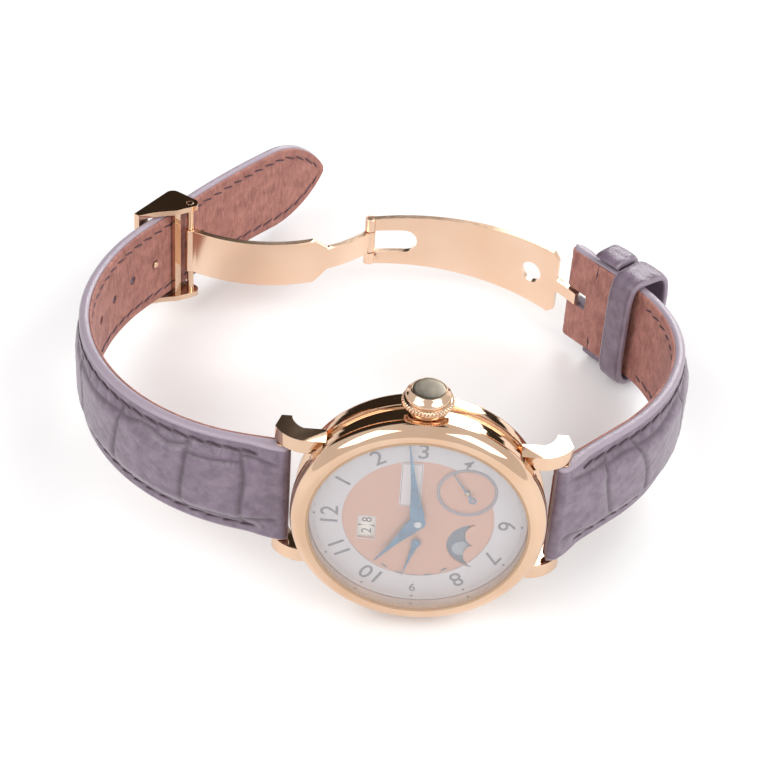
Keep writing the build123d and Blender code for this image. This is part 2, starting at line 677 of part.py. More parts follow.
def make_blank_plate():
    middle = CHAPTER_THICKNESS - PLATE_THICKNESS / 2
    return Pos(PLATE_X, PLATE_Y, middle) * Box(PLATE_HIGH, PLATE_LONG, PLATE_THICKNESS)


def disc_places():
    """Centre and radius of each disc under the dial."""
    units_y = DATE_Y - DATE_WINDOW_WIDE / 4 - UNITS_DIGIT_RADIUS
    tens_y = DATE_Y + DATE_WINDOW_WIDE / 4 + TENS_DIGIT_RADIUS
    return {
        "date_units_disc": (DATE_X, units_y, UNITS_DIGIT_RADIUS + DATE_DIGIT_REACH - RUNNING_GAP),
        "date_tens_disc": (DATE_X, tens_y, TENS_DIGIT_RADIUS + DATE_DIGIT_REACH - RUNNING_GAP),
        "moon_disc": (MOON_X, MOON_Y, MOON_DISC_RADIUS),
    }


def disc_front():
    return CHAPTER_THICKNESS + DIAL_THICKNESS + DISC_DEPTH


def make_indicator_disc(x, y, radius):
    front = disc_front()
    hub_rear = MAIN_PLATE_FRONT - SEAT_GAP * 2
    body = disc(radius, front, front + DISC_THICKNESS, x, y) + small_disc(
        DISC_HUB_RADIUS, front, hub_rear, x, y
    )
    return body - disc(DISC_POST_RADIUS + RUNNING_GAP, front - OVERRUN, hub_rear + OVERRUN, x, y)


def make_disc_posts():
    front = disc_front()
    group = []
    for x, y, radius in disc_places().values():
        group.append(small_disc(DISC_POST_RADIUS, front, MAIN_PLATE_FRONT, x, y))
    return group


# Hands

def leaf_hand(length, width, front, x, y, heading, bore, hub=None):
    """A leaf hand: half its width is the sine of a power of the way along it, raised to a power."""
    hub = hub or width * HAND_HUB_SHARE
    half_tip = HAND_TIP_WIDTH / 2
    shares = [LEAF_START_SHARE + (1 - LEAF_START_SHARE) * i / LEAF_STEPS for i in range(LEAF_STEPS + 1)]
    side = [
        (length * share, half_tip + width / 2 * sin(pi * share ** LEAF_REACH) ** LEAF_TAPER) for share in shares
    ]
    outline = side + [(along, -half) for along, half in reversed(side)]
    blade = extrude(make_face(Polyline(*outline, close=True)), HAND_THICKNESS)
    blade += disc(hub, 0, HAND_THICKNESS)
    blade -= disc(bore, -OVERRUN, OVERRUN)
    return Pos(x, y, front) * Rot(0, 0, heading) * blade


def heading_of_hour(hours):
    return 180 + 30 * hours


def make_minute_hand():
    heading = 180 + 6 * MINUTE_AT
    return leaf_hand(
        MINUTE_HAND_LENGTH, MINUTE_HAND_WIDTH, MINUTE_HAND_Z, 0, 0, heading, CENTRE_ARBOR_RADIUS + SEAT_GAP
    )


def make_hour_hand():
    heading = heading_of_hour(HOURS_AT + MINUTE_AT / 60)
    return leaf_hand(
        HOUR_HAND_LENGTH, HOUR_HAND_WIDTH, HOUR_HAND_Z, 0, 0, heading, HOUR_PIPE_RADIUS + SEAT_GAP
    )


def make_seconds_hand():
    half = SECONDS_HAND_WIDTH / 2
    half_tip = HAND_TIP_WIDTH / 2
    ring_middle = SECONDS_HAND_TAIL - SECONDS_HAND_RING_RADIUS
    points = [
        (SECONDS_HAND_LENGTH, half_tip), (-ring_middle, half), (-ring_middle, -half), (SECONDS_HAND_LENGTH, -half_tip),
    ]
    body = extrude(make_face(Polyline(*points, close=True)), HAND_THICKNESS)
    body += small_disc(SMALL_HUB_RADIUS, 0, HAND_THICKNESS)
    body += small_disc(SECONDS_HAND_RING_RADIUS, 0, HAND_THICKNESS, -ring_middle)
    body -= small_disc(SECONDS_HAND_RING_BORE, -OVERRUN, OVERRUN, -ring_middle)
    body -= small_hole(ARBOR_RADIUS + SEAT_GAP, -OVERRUN, OVERRUN)
    heading = 180 + 6 * SECONDS_AT
    return Pos(SECONDS_X, SECONDS_Y, SECONDS_HAND_Z) * Rot(0, 0, heading) * body


def make_reserve_hand():
    """The hand on its own arbor, which turns in the main plate."""
    hand = leaf_hand(
        RESERVE_HAND_LENGTH, RESERVE_HAND_WIDTH, RESERVE_HAND_Z, 0, RESERVE_Y, 90 + RESERVE_AT,
        ARBOR_RADIUS, SMALL_HUB_RADIUS,
    )
    return hand + disc(ARBOR_RADIUS, RESERVE_HAND_Z, MAIN_PLATE_FRONT + PIVOT_DEPTH, 0, RESERVE_Y)


# Movement

def third_wheel_place():
    """Where the third wheel meshes with both the centre wheel and the fourth wheel's pinion."""
    to_centre = TRAIN_MODULE * (CENTRE_TEETH + PINION_LEAVES) / 2
    to_fourth = TRAIN_MODULE * (THIRD_TEETH + PINION_LEAVES) / 2
    span = hypot(SECONDS_X, SECONDS_Y)
    along = (to_centre ** 2 - to_fourth ** 2 + span ** 2) / (2 * span)
    aside = sqrt(to_centre ** 2 - along ** 2)
    ux = SECONDS_X / span
    uy = SECONDS_Y / span
    return ux * along + uy * aside, uy * along - ux * aside


def escape_place():
    reach = ESCAPE_MODULE * (FOURTH_TEETH + ESCAPE_LEAVES) / 2
    return SECONDS_X + reach * cos(radians(ESCAPE_ANGLE)), SECONDS_Y + reach * sin(radians(ESCAPE_ANGLE))


def barrel_place():
    reach = BARREL_MODULE * (BARREL_TEETH + BARREL_LEAVES) / 2
    return reach * cos(radians(BARREL_ANGLE)), reach * sin(radians(BARREL_ANGLE))


def pallet_place():
    x, y = escape_place()
    return x + (BALANCE_X - x) * PALLET_SHARE, y + (BALANCE_Y - y) * PALLET_SHARE


def direction(start, end):
    return degrees(atan2(end[1] - start[1], end[0] - start[0]))


def train_phases():
    """First-tooth angle of each wheel and pinion, so that all are in mesh at rest."""
    third = third_wheel_place()
    fourth = (SECONDS_X, SECONDS_Y)
    third_pinion = meshed(0, CENTRE_TEETH, direction((0, 0), third), PINION_LEAVES)
    fourth_pinion = meshed(third_pinion, THIRD_TEETH, direction(third, fourth), PINION_LEAVES)
    escape_pinion = meshed(fourth_pinion, FOURTH_TEETH, ESCAPE_ANGLE, ESCAPE_LEAVES)
    barrel = meshed(0, BARREL_LEAVES, BARREL_ANGLE, BARREL_TEETH)
    return third_pinion, fourth_pinion, escape_pinion, barrel


def pinion(leaves, module, level, x, y, first_tooth):
    rear = level + WHEEL_THICKNESS + PINION_MARGIN
    return toothed(leaves, module, level - PINION_MARGIN, rear, x, y, first_tooth)


def arbor(x, y, front=None, radius=ARBOR_RADIUS):
    """An arbor from inside the main plate, or a given depth, to just inside the bridge's rear face."""
    front = MAIN_PLATE_REAR - PIVOT_DEPTH if front is None else front
    return disc(radius, front, BRIDGE_REAR - PINION_MARGIN, x, y)


def make_centre_wheel():
    """Centre wheel, its pinion and the arbor that carries the minute hand."""
    body = toothed(CENTRE_TEETH, TRAIN_MODULE, LEVEL_LOW, LEVEL_LOW + WHEEL_THICKNESS)
    body += pinion(BARREL_LEAVES, BARREL_MODULE, LEVEL_HIGH, 0, 0, 0)
    body += arbor(0, 0, MINUTE_HAND_Z, CENTRE_ARBOR_RADIUS)
    return body + disc(CENTRE_CAP_RADIUS, MINUTE_HAND_Z - CENTRE_CAP, MINUTE_HAND_Z)


def make_hour_wheel():
    rear = HOUR_WHEEL_FRONT + WHEEL_THICKNESS
    module = 2 * HOUR_WHEEL_RADIUS / HOUR_WHEEL_TEETH
    body = toothed(HOUR_WHEEL_TEETH, module, HOUR_WHEEL_FRONT, rear)
    body += disc(HOUR_PIPE_RADIUS, HOUR_HAND_Z, rear)
    return body - disc(CENTRE_ARBOR_RADIUS + RUNNING_GAP, HOUR_HAND_Z - OVERRUN, rear + OVERRUN)


def make_third_wheel():
    x, y = third_wheel_place()
    phase = train_phases()[0]
    body = toothed(THIRD_TEETH, TRAIN_MODULE, LEVEL_MID, LEVEL_MID + WHEEL_THICKNESS, x, y, phase)
    return body + pinion(PINION_LEAVES, TRAIN_MODULE, LEVEL_LOW, x, y, phase) + arbor(x, y)


def make_fourth_wheel():
    """Fourth wheel, whose arbor passes through the dial and carries the small seconds hand."""
    phase = train_phases()[1]
    rear = LEVEL_HIGH + WHEEL_THICKNESS
    body = toothed(FOURTH_TEETH, ESCAPE_MODULE, LEVEL_HIGH, rear, SECONDS_X, SECONDS_Y, phase)
    body += pinion(PINION_LEAVES, TRAIN_MODULE, LEVEL_MID, SECONDS_X, SECONDS_Y, phase)
    return body + arbor(SECONDS_X, SECONDS_Y, SECONDS_HAND_Z)


def make_escape_wheel():
    x, y = escape_place()
    module = 2 * ESCAPE_RADIUS / (ESCAPE_WHEEL_TEETH + 2 * TOOTH_HEIGHT_SHARE)
    body = toothed(ESCAPE_WHEEL_TEETH, module, LEVEL_LOW, LEVEL_LOW + WHEEL_THICKNESS, x, y)
    return body + pinion(ESCAPE_LEAVES, ESCAPE_MODULE, LEVEL_HIGH, x, y, train_phases()[2]) + arbor(x, y)


def make_barrel():
    x, y = barrel_place()
    rear = LEVEL_HIGH + WHEEL_THICKNESS
    body = toothed(BARREL_TEETH, BARREL_MODULE, LEVEL_HIGH, rear, x, y, train_phases()[3])
    drum = BARREL_TEETH * BARREL_MODULE / 2 - BARREL_RIM
    body += disc(drum, BARREL_DRUM_FRONT, BARREL_DRUM_REAR, x, y)
    return body + arbor(x, y, None, BARREL_ARBOR_RADIUS)


def make_pallet_fork():
    """Lever with two pallets beside the escape wheel and its tip beside the balance roller."""
    x, y = pallet_place()
    towards_balance = direction((x, y), (BALANCE_X, BALANCE_Y))
    lever = hypot(BALANCE_X - x, BALANCE_Y - y) - ROLLER_RADIUS - PALLET_LEVER_GAP
    shape = Pos(lever / 2, 0, 0) * Rectangle(lever, PALLET_LEVER_WIDTH)
    shape += Rectangle(PALLET_ARM_WIDTH, PALLET_ARM * 2)
    for side in (-1, 1):
        stone = Rectangle(PALLET_STONE, PALLET_ARM_WIDTH)
        inset = PALLET_ARM - PALLET_ARM_WIDTH / 2
        shape += Pos(-(PALLET_STONE + PALLET_ARM_WIDTH) / 2, side * inset, 0) * stone
    fork = Pos(x, y, LEVEL_LOW) * Rot(0, 0, towards_balance) * extrude(shape, WHEEL_THICKNESS)
    return fork + disc(
        BALANCE_STAFF_RADIUS, MAIN_PLATE_REAR - PIVOT_DEPTH, PALLET_BRIDGE_REAR - PINION_MARGIN, x, y
    )


def make_pallet_bridge():
    x, y = pallet_place()
    across = direction((x, y), (BALANCE_X, BALANCE_Y)) + 90
    height = PALLET_BRIDGE_REAR - PALLET_BRIDGE_FRONT
    middle = (PALLET_BRIDGE_FRONT + PALLET_BRIDGE_REAR) / 2
    body = Pos(x, y, middle) * Rot(0, 0, across) * Box(PALLET_BRIDGE_REACH * 2, PALLET_BRIDGE_WIDTH, height)
    for side in (-1, 1):
        foot_x = x + side * PALLET_BRIDGE_REACH * cos(radians(across))
        foot_y = y + side * PALLET_BRIDGE_REACH * sin(radians(across))
        body += small_disc(PALLET_BRIDGE_WIDTH / 2, MAIN_PLATE_REAR, PALLET_BRIDGE_REAR, foot_x, foot_y)
    return body - small_hole(
        BALANCE_STAFF_RADIUS + RUNNING_GAP, MAIN_PLATE_REAR, PALLET_BRIDGE_REAR + OVERRUN, x, y
    )


def make_balance_wheel():
    """Balance rim with one cross arm, staff, roller and the collet that holds the hairspring."""
    rear = BALANCE_FRONT + BALANCE_RIM_THICKNESS
    body = ring(BALANCE_RADIUS, BALANCE_RADIUS - BALANCE_RIM, BALANCE_FRONT, rear, BALANCE_X, BALANCE_Y)
    arm = Box(BALANCE_ARM, BALANCE_RADIUS * 2 - BALANCE_RIM, WHEEL_THICKNESS)
    body += Pos(BALANCE_X, BALANCE_Y, BALANCE_FRONT + WHEEL_THICKNESS / 2) * Rot(0, 0, BARREL_ANGLE) * arm
    body += disc(
        BALANCE_STAFF_RADIUS, MAIN_PLATE_REAR - PIVOT_DEPTH, COCK_REAR - PINION_MARGIN, BALANCE_X, BALANCE_Y
    )
    body += disc(ROLLER_RADIUS, LEVEL_LOW, LEVEL_LOW + WHEEL_THICKNESS, BALANCE_X, BALANCE_Y)
    top = HAIRSPRING_FRONT + HAIRSPRING_HEIGHT + PINION_MARGIN
    return body + small_disc(COLLET_RADIUS, HAIRSPRING_FRONT - PINION_MARGIN, top, BALANCE_X, BALANCE_Y)


def spiral_points(offset):
    """Points on half circles whose centres change sides and whose radii grow, an offset from the wire's middle."""
    points = []
    for turn in range(HAIRSPRING_HALF_TURNS):
        side = -1 if turn % 2 else 1
        radius = HAIRSPRING_START + turn * HAIRSPRING_STEP + offset
        centre = -side * HAIRSPRING_STEP / 2
        for step in range(HAIRSPRING_STEPS):
            angle = pi * step / HAIRSPRING_STEPS
            points.append((centre + side * radius * cos(angle), side * radius * sin(angle)))
    points.append((centre - side * radius, 0))
    return points


def make_hairspring():
    half = HAIRSPRING_WIRE / 2
    outline = spiral_points(half) + spiral_points(-half)[::-1]
    strip = extrude(make_face(Polyline(*outline, close=True)), HAIRSPRING_HEIGHT)
    return Pos(BALANCE_X, BALANCE_Y, HAIRSPRING_FRONT) * strip


def hairspring_gap():
    """Least distance between neighbouring coils, measured between points along the wire's middle."""
    points = spiral_points(0)
    least = min(
        hypot(p[0] - q[0], p[1] - q[1])
        for i, p in enumerate(points) for q in points[i + HAIRSPRING_STEPS * 3 // 2:]
    )
    return least - HAIRSPRING_WIRE


def hairspring_end():
    x, y = spiral_points(0)[-1]
    return BALANCE_X + x, BALANCE_Y + y


def feet(angles):
    return [
        (BRIDGE_FOOT_CIRCLE * cos(radians(a)), BRIDGE_FOOT_CIRCLE * sin(radians(a))) for a in angles
    ]


def cock_foot():
    angle = radians(COCK_ANGLE)
    return BALANCE_X + COCK_REACH * cos(angle), BALANCE_Y + COCK_REACH * sin(angle)


def screw_places():
    """Place and head face depth of each bridge screw."""
    places = [(x, y, BRIDGE_REAR) for x, y in feet(TRAIN_FOOT_ANGLES) + feet(BARREL_FOOT_ANGLES)]
    return places + [(*cock_foot(), COCK_REAR)]


def screw_hole(x, y, face):
    seat = face - BRIDGE_SCREW_HEAD
    hole = small_hole(
        BRIDGE_SCREW_RADIUS + SEAT_GAP, MAIN_PLATE_REAR - PIVOT_DEPTH - SEAT_GAP, seat + OVERRUN, x, y
    )
    return hole + small_hole(BRIDGE_SCREW_HEAD_RADIUS + SEAT_GAP, seat, face + OVERRUN, x, y)


def make_bridge_screws():
    group = []
    for x, y, face in screw_places():
        seat = face - BRIDGE_SCREW_HEAD
        screw = small_disc(BRIDGE_SCREW_HEAD_RADIUS, seat, face, x, y)
        group.append(screw + small_disc(BRIDGE_SCREW_RADIUS, MAIN_PLATE_REAR - PIVOT_DEPTH, seat, x, y))
    return group


def jewel_places():
    return [(*third_wheel_place(), BRIDGE_REAR, ARBOR_RADIUS), (SECONDS_X, SECONDS_Y, BRIDGE_REAR, ARBOR_RADIUS),
            (*escape_place(), BRIDGE_REAR, ARBOR_RADIUS), (BALANCE_X, BALANCE_Y, COCK_REAR, BALANCE_STAFF_RADIUS)]


def make_jewels():
    group = []
    for x, y, rear, staff in jewel_places():
        jewel = small_disc(JEWEL_RADIUS, rear - JEWEL_THICKNESS, rear, x, y)
        group.append(
            jewel - small_hole(staff + RUNNING_GAP, rear - JEWEL_THICKNESS - OVERRUN, rear + OVERRUN, x, y)
        )
    return group


def jewel_hole(x, y, rear):
    return small_hole(JEWEL_RADIUS + SEAT_GAP, BRIDGE_FRONT - OVERRUN, rear + OVERRUN, x, y)


def bridge_blank(low_x, high_x, low_y, high_y, foot_angles):
    """A round bridge plate trimmed to a rectangle of the movement, on round feet."""
    middle = (BRIDGE_FRONT + BRIDGE_REAR) / 2
    trim = Pos((low_x + high_x) / 2, (low_y + high_y) / 2, middle) * Box(
        high_x - low_x, high_y - low_y, BRIDGE_REAR
    )
    body = disc(BRIDGE_RADIUS, BRIDGE_FRONT, BRIDGE_REAR) & trim
    body -= disc(
        BALANCE_RADIUS + BALANCE_ROOM, BRIDGE_FRONT - OVERRUN, BRIDGE_REAR + OVERRUN, BALANCE_X, BALANCE_Y
    )
    for x, y in feet(foot_angles):
        body += small_disc(BRIDGE_FOOT_RADIUS, MAIN_PLATE_REAR, BRIDGE_FRONT + SEAT_GAP, x, y)
    for x, y in feet(foot_angles):
        body -= screw_hole(x, y, BRIDGE_REAR)
    return body


def make_train_bridge():
    edge = BRIDGE_SPLIT_Y - BRIDGE_GAP / 2
    body = bridge_blank(-BRIDGE_RADIUS, BRIDGE_RADIUS, -BRIDGE_RADIUS, edge, TRAIN_FOOT_ANGLES)
    for x, y, rear, staff in jewel_places()[:3]:
        body -= jewel_hole(x, y, rear)
    return body


def make_barrel_bridge():
    edge = BRIDGE_SPLIT_Y + BRIDGE_GAP / 2
    side = BALANCE_X - BALANCE_RADIUS - BALANCE_ROOM
    body = bridge_blank(-BRIDGE_RADIUS, side, edge, BRIDGE_RADIUS, BARREL_FOOT_ANGLES)
    x, y = barrel_place()
    body -= small_hole(BARREL_ARBOR_RADIUS + RUNNING_GAP, BRIDGE_FRONT - OVERRUN, BRIDGE_REAR + OVERRUN, x, y)
    return body - small_hole(CENTRE_ARBOR_RADIUS + RUNNING_GAP, BRIDGE_FRONT - OVERRUN, BRIDGE_REAR + OVERRUN)


def make_balance_cock():
    """The arm over the balance, with the stud that holds the hairspring's outer end."""
    x, y = cock_foot()
    outline = [(0, -COCK_HEAD_RADIUS), (COCK_REACH, -COCK_FOOT_RADIUS), (COCK_REACH, COCK_FOOT_RADIUS), (0, COCK_HEAD_RADIUS)]
    arm = extrude(make_face(Polyline(*outline, close=True)), COCK_REAR - COCK_FRONT)
    body = Pos(BALANCE_X, BALANCE_Y, COCK_FRONT) * Rot(0, 0, COCK_ANGLE) * arm
    body += disc(COCK_HEAD_RADIUS, COCK_FRONT, COCK_REAR, BALANCE_X, BALANCE_Y)
    body += disc(COCK_FOOT_RADIUS, MAIN_PLATE_REAR, COCK_REAR, x, y)
    stud_x, stud_y = hairspring_end()
    angle = direction((BALANCE_X, BALANCE_Y), (stud_x, stud_y))
    reach = hypot(stud_x - BALANCE_X, stud_y - BALANCE_Y)
    holder = Pos(reach / 2, 0, 0) * Rectangle(reach, STUD_HOLDER_RADIUS * 2)
    body += Pos(BALANCE_X, BALANCE_Y, COCK_FRONT) * Rot(0, 0, angle) * extrude(holder, COCK_REAR - COCK_FRONT)
    body += small_disc(STUD_HOLDER_RADIUS, HAIRSPRING_FRONT + HAIRSPRING_HEIGHT, COCK_REAR, stud_x, stud_y)
    body -= screw_hole(x, y, COCK_REAR)
    return body - jewel_hole(BALANCE_X, BALANCE_Y, COCK_REAR)


def make_main_plate():
    """Base plate with seats for arbors and screws and the slot for stem and winding pinion."""
    body = disc(PLATE_RADIUS, MAIN_PLATE_FRONT, MAIN_PLATE_REAR)
    through = MAIN_PLATE_FRONT - OVERRUN
    top = MAIN_PLATE_REAR + OVERRUN
    body -= small_hole(CENTRE_ARBOR_RADIUS + RUNNING_GAP, through, top)
    body -= small_hole(ARBOR_RADIUS + RUNNING_GAP, through, top, SECONDS_X, SECONDS_Y)
    floor = MAIN_PLATE_REAR - PIVOT_DEPTH - SEAT_GAP
    for x, y in (third_wheel_place(), escape_place()):
        body -= small_hole(ARBOR_RADIUS + RUNNING_GAP, floor, top, x, y)
    for x, y in (pallet_place(), (BALANCE_X, BALANCE_Y)):
        body -= small_hole(BALANCE_STAFF_RADIUS + RUNNING_GAP, floor, top, x, y)
    body -= small_hole(BARREL_ARBOR_RADIUS + RUNNING_GAP, floor, top, *barrel_place())
    body -= small_hole(
        ARBOR_RADIUS + RUNNING_GAP, through, MAIN_PLATE_FRONT + PIVOT_DEPTH + SEAT_GAP, 0, RESERVE_Y
    )
    for x, y, face in screw_places():
        body -= small_hole(BRIDGE_SCREW_RADIUS + SEAT_GAP, floor, top, x, y)
    half_slot = STEM_RADIUS + STEM_SLOT_MARGIN
    length = PLATE_RADIUS + OVERRUN - STEM_INNER_END + STEM_SLOT_MARGIN
    middle = -(PLATE_RADIUS + OVERRUN + STEM_INNER_END - STEM_SLOT_MARGIN) / 2
    depth = top - (STEM_Z - half_slot)
    body -= Pos(0, middle, top - depth / 2) * Box(half_slot * 2, length, depth)
    half_room = PINION_RADIUS + STEM_SLOT_MARGIN * 2
    depth = top - (STEM_Z - half_room)
    middle = -(PINION_INNER + PINION_LENGTH / 2)
    return body - Pos(0, middle, top - depth / 2) * Box(
        half_room * 2, PINION_LENGTH + STEM_SLOT_MARGIN * 2, depth
    )


def make_movement_ring():
    body = ring(RING_RADIUS, RING_RADIUS - RING_WALL, RING_FRONT, RING_REAR)
    half_slot = STEM_RADIUS + STEM_SLOT_MARGIN
    return body - bar_along_y(
        half_slot, 0, STEM_Z, -RING_RADIUS - OVERRUN, -RING_RADIUS + RING_WALL + OVERRUN
    )


def make_rotor_post():
    front = BRIDGE_REAR
    top = ROTOR_FRONT + ROTOR_THICKNESS + RUNNING_GAP
    post = disc(ROTOR_POST_RADIUS, front, top) + disc(ROTOR_POST_HEAD_RADIUS, top, top + ROTOR_POST_HEAD)
    return post + disc(ROTOR_POST_HEAD_RADIUS, front, ROTOR_FRONT - RUNNING_GAP)


def half_disc_trim():
    reach = CASE_RADIUS * 2
    return Pos(0, -reach / 2, ROTOR_FRONT) * Box(reach, reach, reach)


def make_rotor_carrier():
    """The skeleton web between the hub and the heavy rim."""
    rear = ROTOR_FRONT + ROTOR_THICKNESS
    edge = ROTOR_RADIUS - ROTOR_RIM_WIDTH
    window = ring(edge - ROTOR_WINDOW_MARGIN, ROTOR_WINDOW_INNER, ROTOR_FRONT - OVERRUN, rear + OVERRUN)
    window -= Pos(0, ROTOR_SPOKE, 0) * half_disc_trim()
    for turn in ROTOR_SPOKE_ANGLES:
        spoke = Pos(edge / 2, 0, ROTOR_FRONT) * Box(edge, ROTOR_SPOKE, ROTOR_THICKNESS * 8)
        window -= Rot(0, 0, turn) * spoke
    body = disc(edge, ROTOR_FRONT, rear) - half_disc_trim() - window
    body += disc(ROTOR_HUB_RADIUS, ROTOR_FRONT, rear)
    return body - disc(ROTOR_POST_RADIUS + RUNNING_GAP, ROTOR_FRONT - OVERRUN, rear + OVERRUN)


def make_rotor_weight():
    rear = ROTOR_FRONT + ROTOR_RIM_THICKNESS
    return ring(ROTOR_RADIUS, ROTOR_RADIUS - ROTOR_RIM_WIDTH, ROTOR_FRONT, rear) - half_disc_trim()


# Strap halves: each follows a path of straight runs and arcs in the plane between the lugs

def run_length(radius, turn):
    return radius * radians(abs(turn))


LONG_RUNS = (
    (LONG_STRAIGHT, 0), (run_length(LONG_WRIST_RADIUS, LONG_WRIST_TURN), -LONG_WRIST_TURN),
    (run_length(LONG_REAR_RADIUS, LONG_REAR_TURN), -LONG_REAR_TURN), (TAIL_STRAIGHT, 0),
    (run_length(TAIL_RADIUS, TAIL_TURN), -TAIL_TURN),
)
SHORT_RUNS = (
    (SHORT_STRAIGHT, 0), (run_length(SHORT_WRIST_RADIUS, SHORT_WRIST_TURN), SHORT_WRIST_TURN),
    (run_length(SHORT_REAR_RADIUS, SHORT_REAR_TURN), SHORT_REAR_TURN), (SHORT_END_STRAIGHT, 0),
)
LONG_LENGTH = sum(length for length, turn in LONG_RUNS)
SHORT_LENGTH = sum(length for length, turn in SHORT_RUNS)


def walk(side, distance):
    """Point on the lining's face and heading, a distance from the lug bar. Side 1 is the long half."""
    heading = LONG_HEADING if side > 0 else SHORT_HEADING
    out = radians(heading + 90 * side)
    x = -side * LUG_BAR_X - BAR_TO_LINING * cos(out)
    z = LUG_BAR_Z - BAR_TO_LINING * sin(out)
    for length, turn in LONG_RUNS if side > 0 else SHORT_RUNS:
        part = min(distance, length)
        angle = radians(heading)
        bend = radians(turn * part / length)
        if turn:
            radius = length / radians(turn)
            x += radius * (sin(angle + bend) - sin(angle))
            z -= radius * (cos(angle + bend) - cos(angle))
        else:
            x += part * cos(angle)
            z += part * sin(angle)
        heading += degrees(bend)
        distance -= part
    return x, z, heading


def across(side, distance):
    """Plane square to the strap: its x across the width, its y outwards from the lining's face."""
    x, z, heading = walk(side, distance)
    angle = radians(heading)
    return Plane(origin=(x, 0, z), x_dir=(0, side, 0), z_dir=(cos(angle), 0, sin(angle)))


def beside(side, distance):
    """Plane along the strap's side view: its x along the strap, its y outwards from the lining's face."""
    x, z, heading = walk(side, distance)
    angle = radians(heading)
    return Plane(origin=(x, 0, z), x_dir=(cos(angle), 0, sin(angle)), z_dir=(0, -side, 0))


def half_width(side, distance):
    if side < 0:
        return STRAP_HALF_WIDTH + (SHORT_END_HALF_WIDTH - STRAP_HALF_WIDTH) * distance / SHORT_LENGTH
    taper = min(distance / STRAP_THIN_AT, 1)
    width = STRAP_HALF_WIDTH + (STRAP_TAIL_HALF_WIDTH - STRAP_HALF_WIDTH) * taper
    into_point = max(distance - (LONG_LENGTH - TAIL_POINT_LENGTH), 0) / TAIL_POINT_LENGTH
    return width * (1 - into_point ** TAIL_ROUND) ** TAIL_POINT


def crown_height(side, distance):
    """Thickness in the middle of the strap: padded behind the lugs and thin towards the buckle."""
    thin = LONG_THIN if side > 0 else SHORT_FOLD_THICKNESS
    thin_at = STRAP_THIN_AT if side > 0 else SHORT_THIN_AT
    bar = STRAP_NOSE_RADIUS * 2
    if distance < STRAP_CROWN_AT:
        return bar + (STRAP_CROWN - bar) * distance / STRAP_CROWN_AT
    fall = min(max(distance - STRAP_CROWN_END, 0) / (thin_at - STRAP_CROWN_END), 1)
    return STRAP_CROWN + (thin - STRAP_CROWN) * fall


def section(side, distance, inner, flat=None):
    """One cross-section of the strap, from a height above the lining's face to the crowned outside."""
    half = half_width(side, distance)
    if flat:
        return across(side, distance) * Pos(0, (inner + flat) / 2, 0) * Rectangle(half * 2, flat - inner)
    rise = crown_height(side, distance) - STRAP_EDGE
    corners = [(-half, inner), (half, inner), (half, STRAP_EDGE)]
    corners += [(half * out, STRAP_EDGE + rise * up) for out, up in CROWN_SHARES]
    corners += [(-half * out, STRAP_EDGE + rise * up) for out, up in reversed(CROWN_SHARES)]
    corners.append((-half, STRAP_EDGE))
    return across(side, distance) * make_face(Polyline(*corners, close=True))


def stations(side, start, end):
    count = ceil((end - start) / STATION_STEP)
    return [start + (end - start) * i / count for i in range(count + 1)]


def strap_stations(side):
    if side < 0:
        return stations(side, NOSE_LENGTH, SHORT_LENGTH - NOSE_LENGTH)
    point = LONG_LENGTH - TAIL_POINT_LENGTH
    return stations(side, NOSE_LENGTH, point) + [
        point + share * TAIL_POINT_LENGTH for share in TAIL_TIP_SHARES
    ]


def nose(side, centre, radius, bore):
    """The rolled end of a strap half round its bar."""
    plane = beside(side, centre)
    half = half_width(side, centre)
    roll = plane * Pos(0, radius, -half) * Cylinder(radius, half * 2, align=BASE)
    hole = plane * Pos(0, radius, -half - OVERRUN) * Cylinder(bore, (half + OVERRUN) * 2, align=BASE)
    return roll, hole


def hole_places():
    """Distances of the strap holes along the long half."""
    return [STUD_AT + i * STRAP_HOLE_PITCH for i in range(-HOLES_BEFORE_STUD, HOLES_AFTER_STUD + 1)]


def strap_holes():
    depth = STRAP_CROWN + OVERRUN * 2
    punch = Rot(-90, 0, 0) * Cylinder(STRAP_HOLE_RADIUS, depth, align=BASE)
    few_sided = Rot(-90, 0, 0) * small_hole(STRAP_HOLE_RADIUS, 0, depth)
    last = hole_places()[-1]
    return [beside(1, s) * Pos(0, -OVERRUN, 0) * (punch if s == last else few_sided) for s in hole_places()]


def end_notch():
    """The gap in the middle of the short half's folded end, where the clasp takes hold of the bar."""
    depth = NOTCH_DEPTH + STRAP_NOSE_RADIUS + OVERRUN
    middle = STRAP_NOSE_RADIUS + OVERRUN - depth / 2
    room = Box(depth, STRAP_CROWN + OVERRUN * 4, NOTCH_HALF_WIDTH * 2)
    return beside(-1, SHORT_LENGTH) * Pos(middle, SHORT_FOLD_THICKNESS / 2, 0) * room


def make_strap_upper(side):
    end = loft([section(side, 0, 0), section(side, NOSE_LENGTH, 0)], ruled=True)
    faces = [section(side, s, LINING_THICKNESS) for s in strap_stations(side)]
    body = loft(faces, ruled=True) + end
    roll, hole = nose(side, 0, STRAP_NOSE_RADIUS, SPRING_BAR_RADIUS + PIVOT_CLEARANCE)
    body = body + roll - hole
    if side > 0:
        for cut in strap_holes():
            body -= cut
        return body
    last = [section(side, SHORT_LENGTH - NOSE_LENGTH, 0), section(side, SHORT_LENGTH, 0)]
    body += loft(last, ruled=True)
    roll, hole = nose(side, SHORT_LENGTH, SHORT_FOLD_THICKNESS / 2, END_BAR_RADIUS + PIVOT_CLEARANCE)
    return body + roll - hole - end_notch()


def make_strap_lining(side):
    faces = [section(side, s, 0, LINING_THICKNESS) for s in strap_stations(side)]
    body = loft(faces, ruled=True)
    if side < 0:
        return body - end_notch()
    for cut in strap_holes():
        body -= cut
    return body


# Buckle frame on the long half

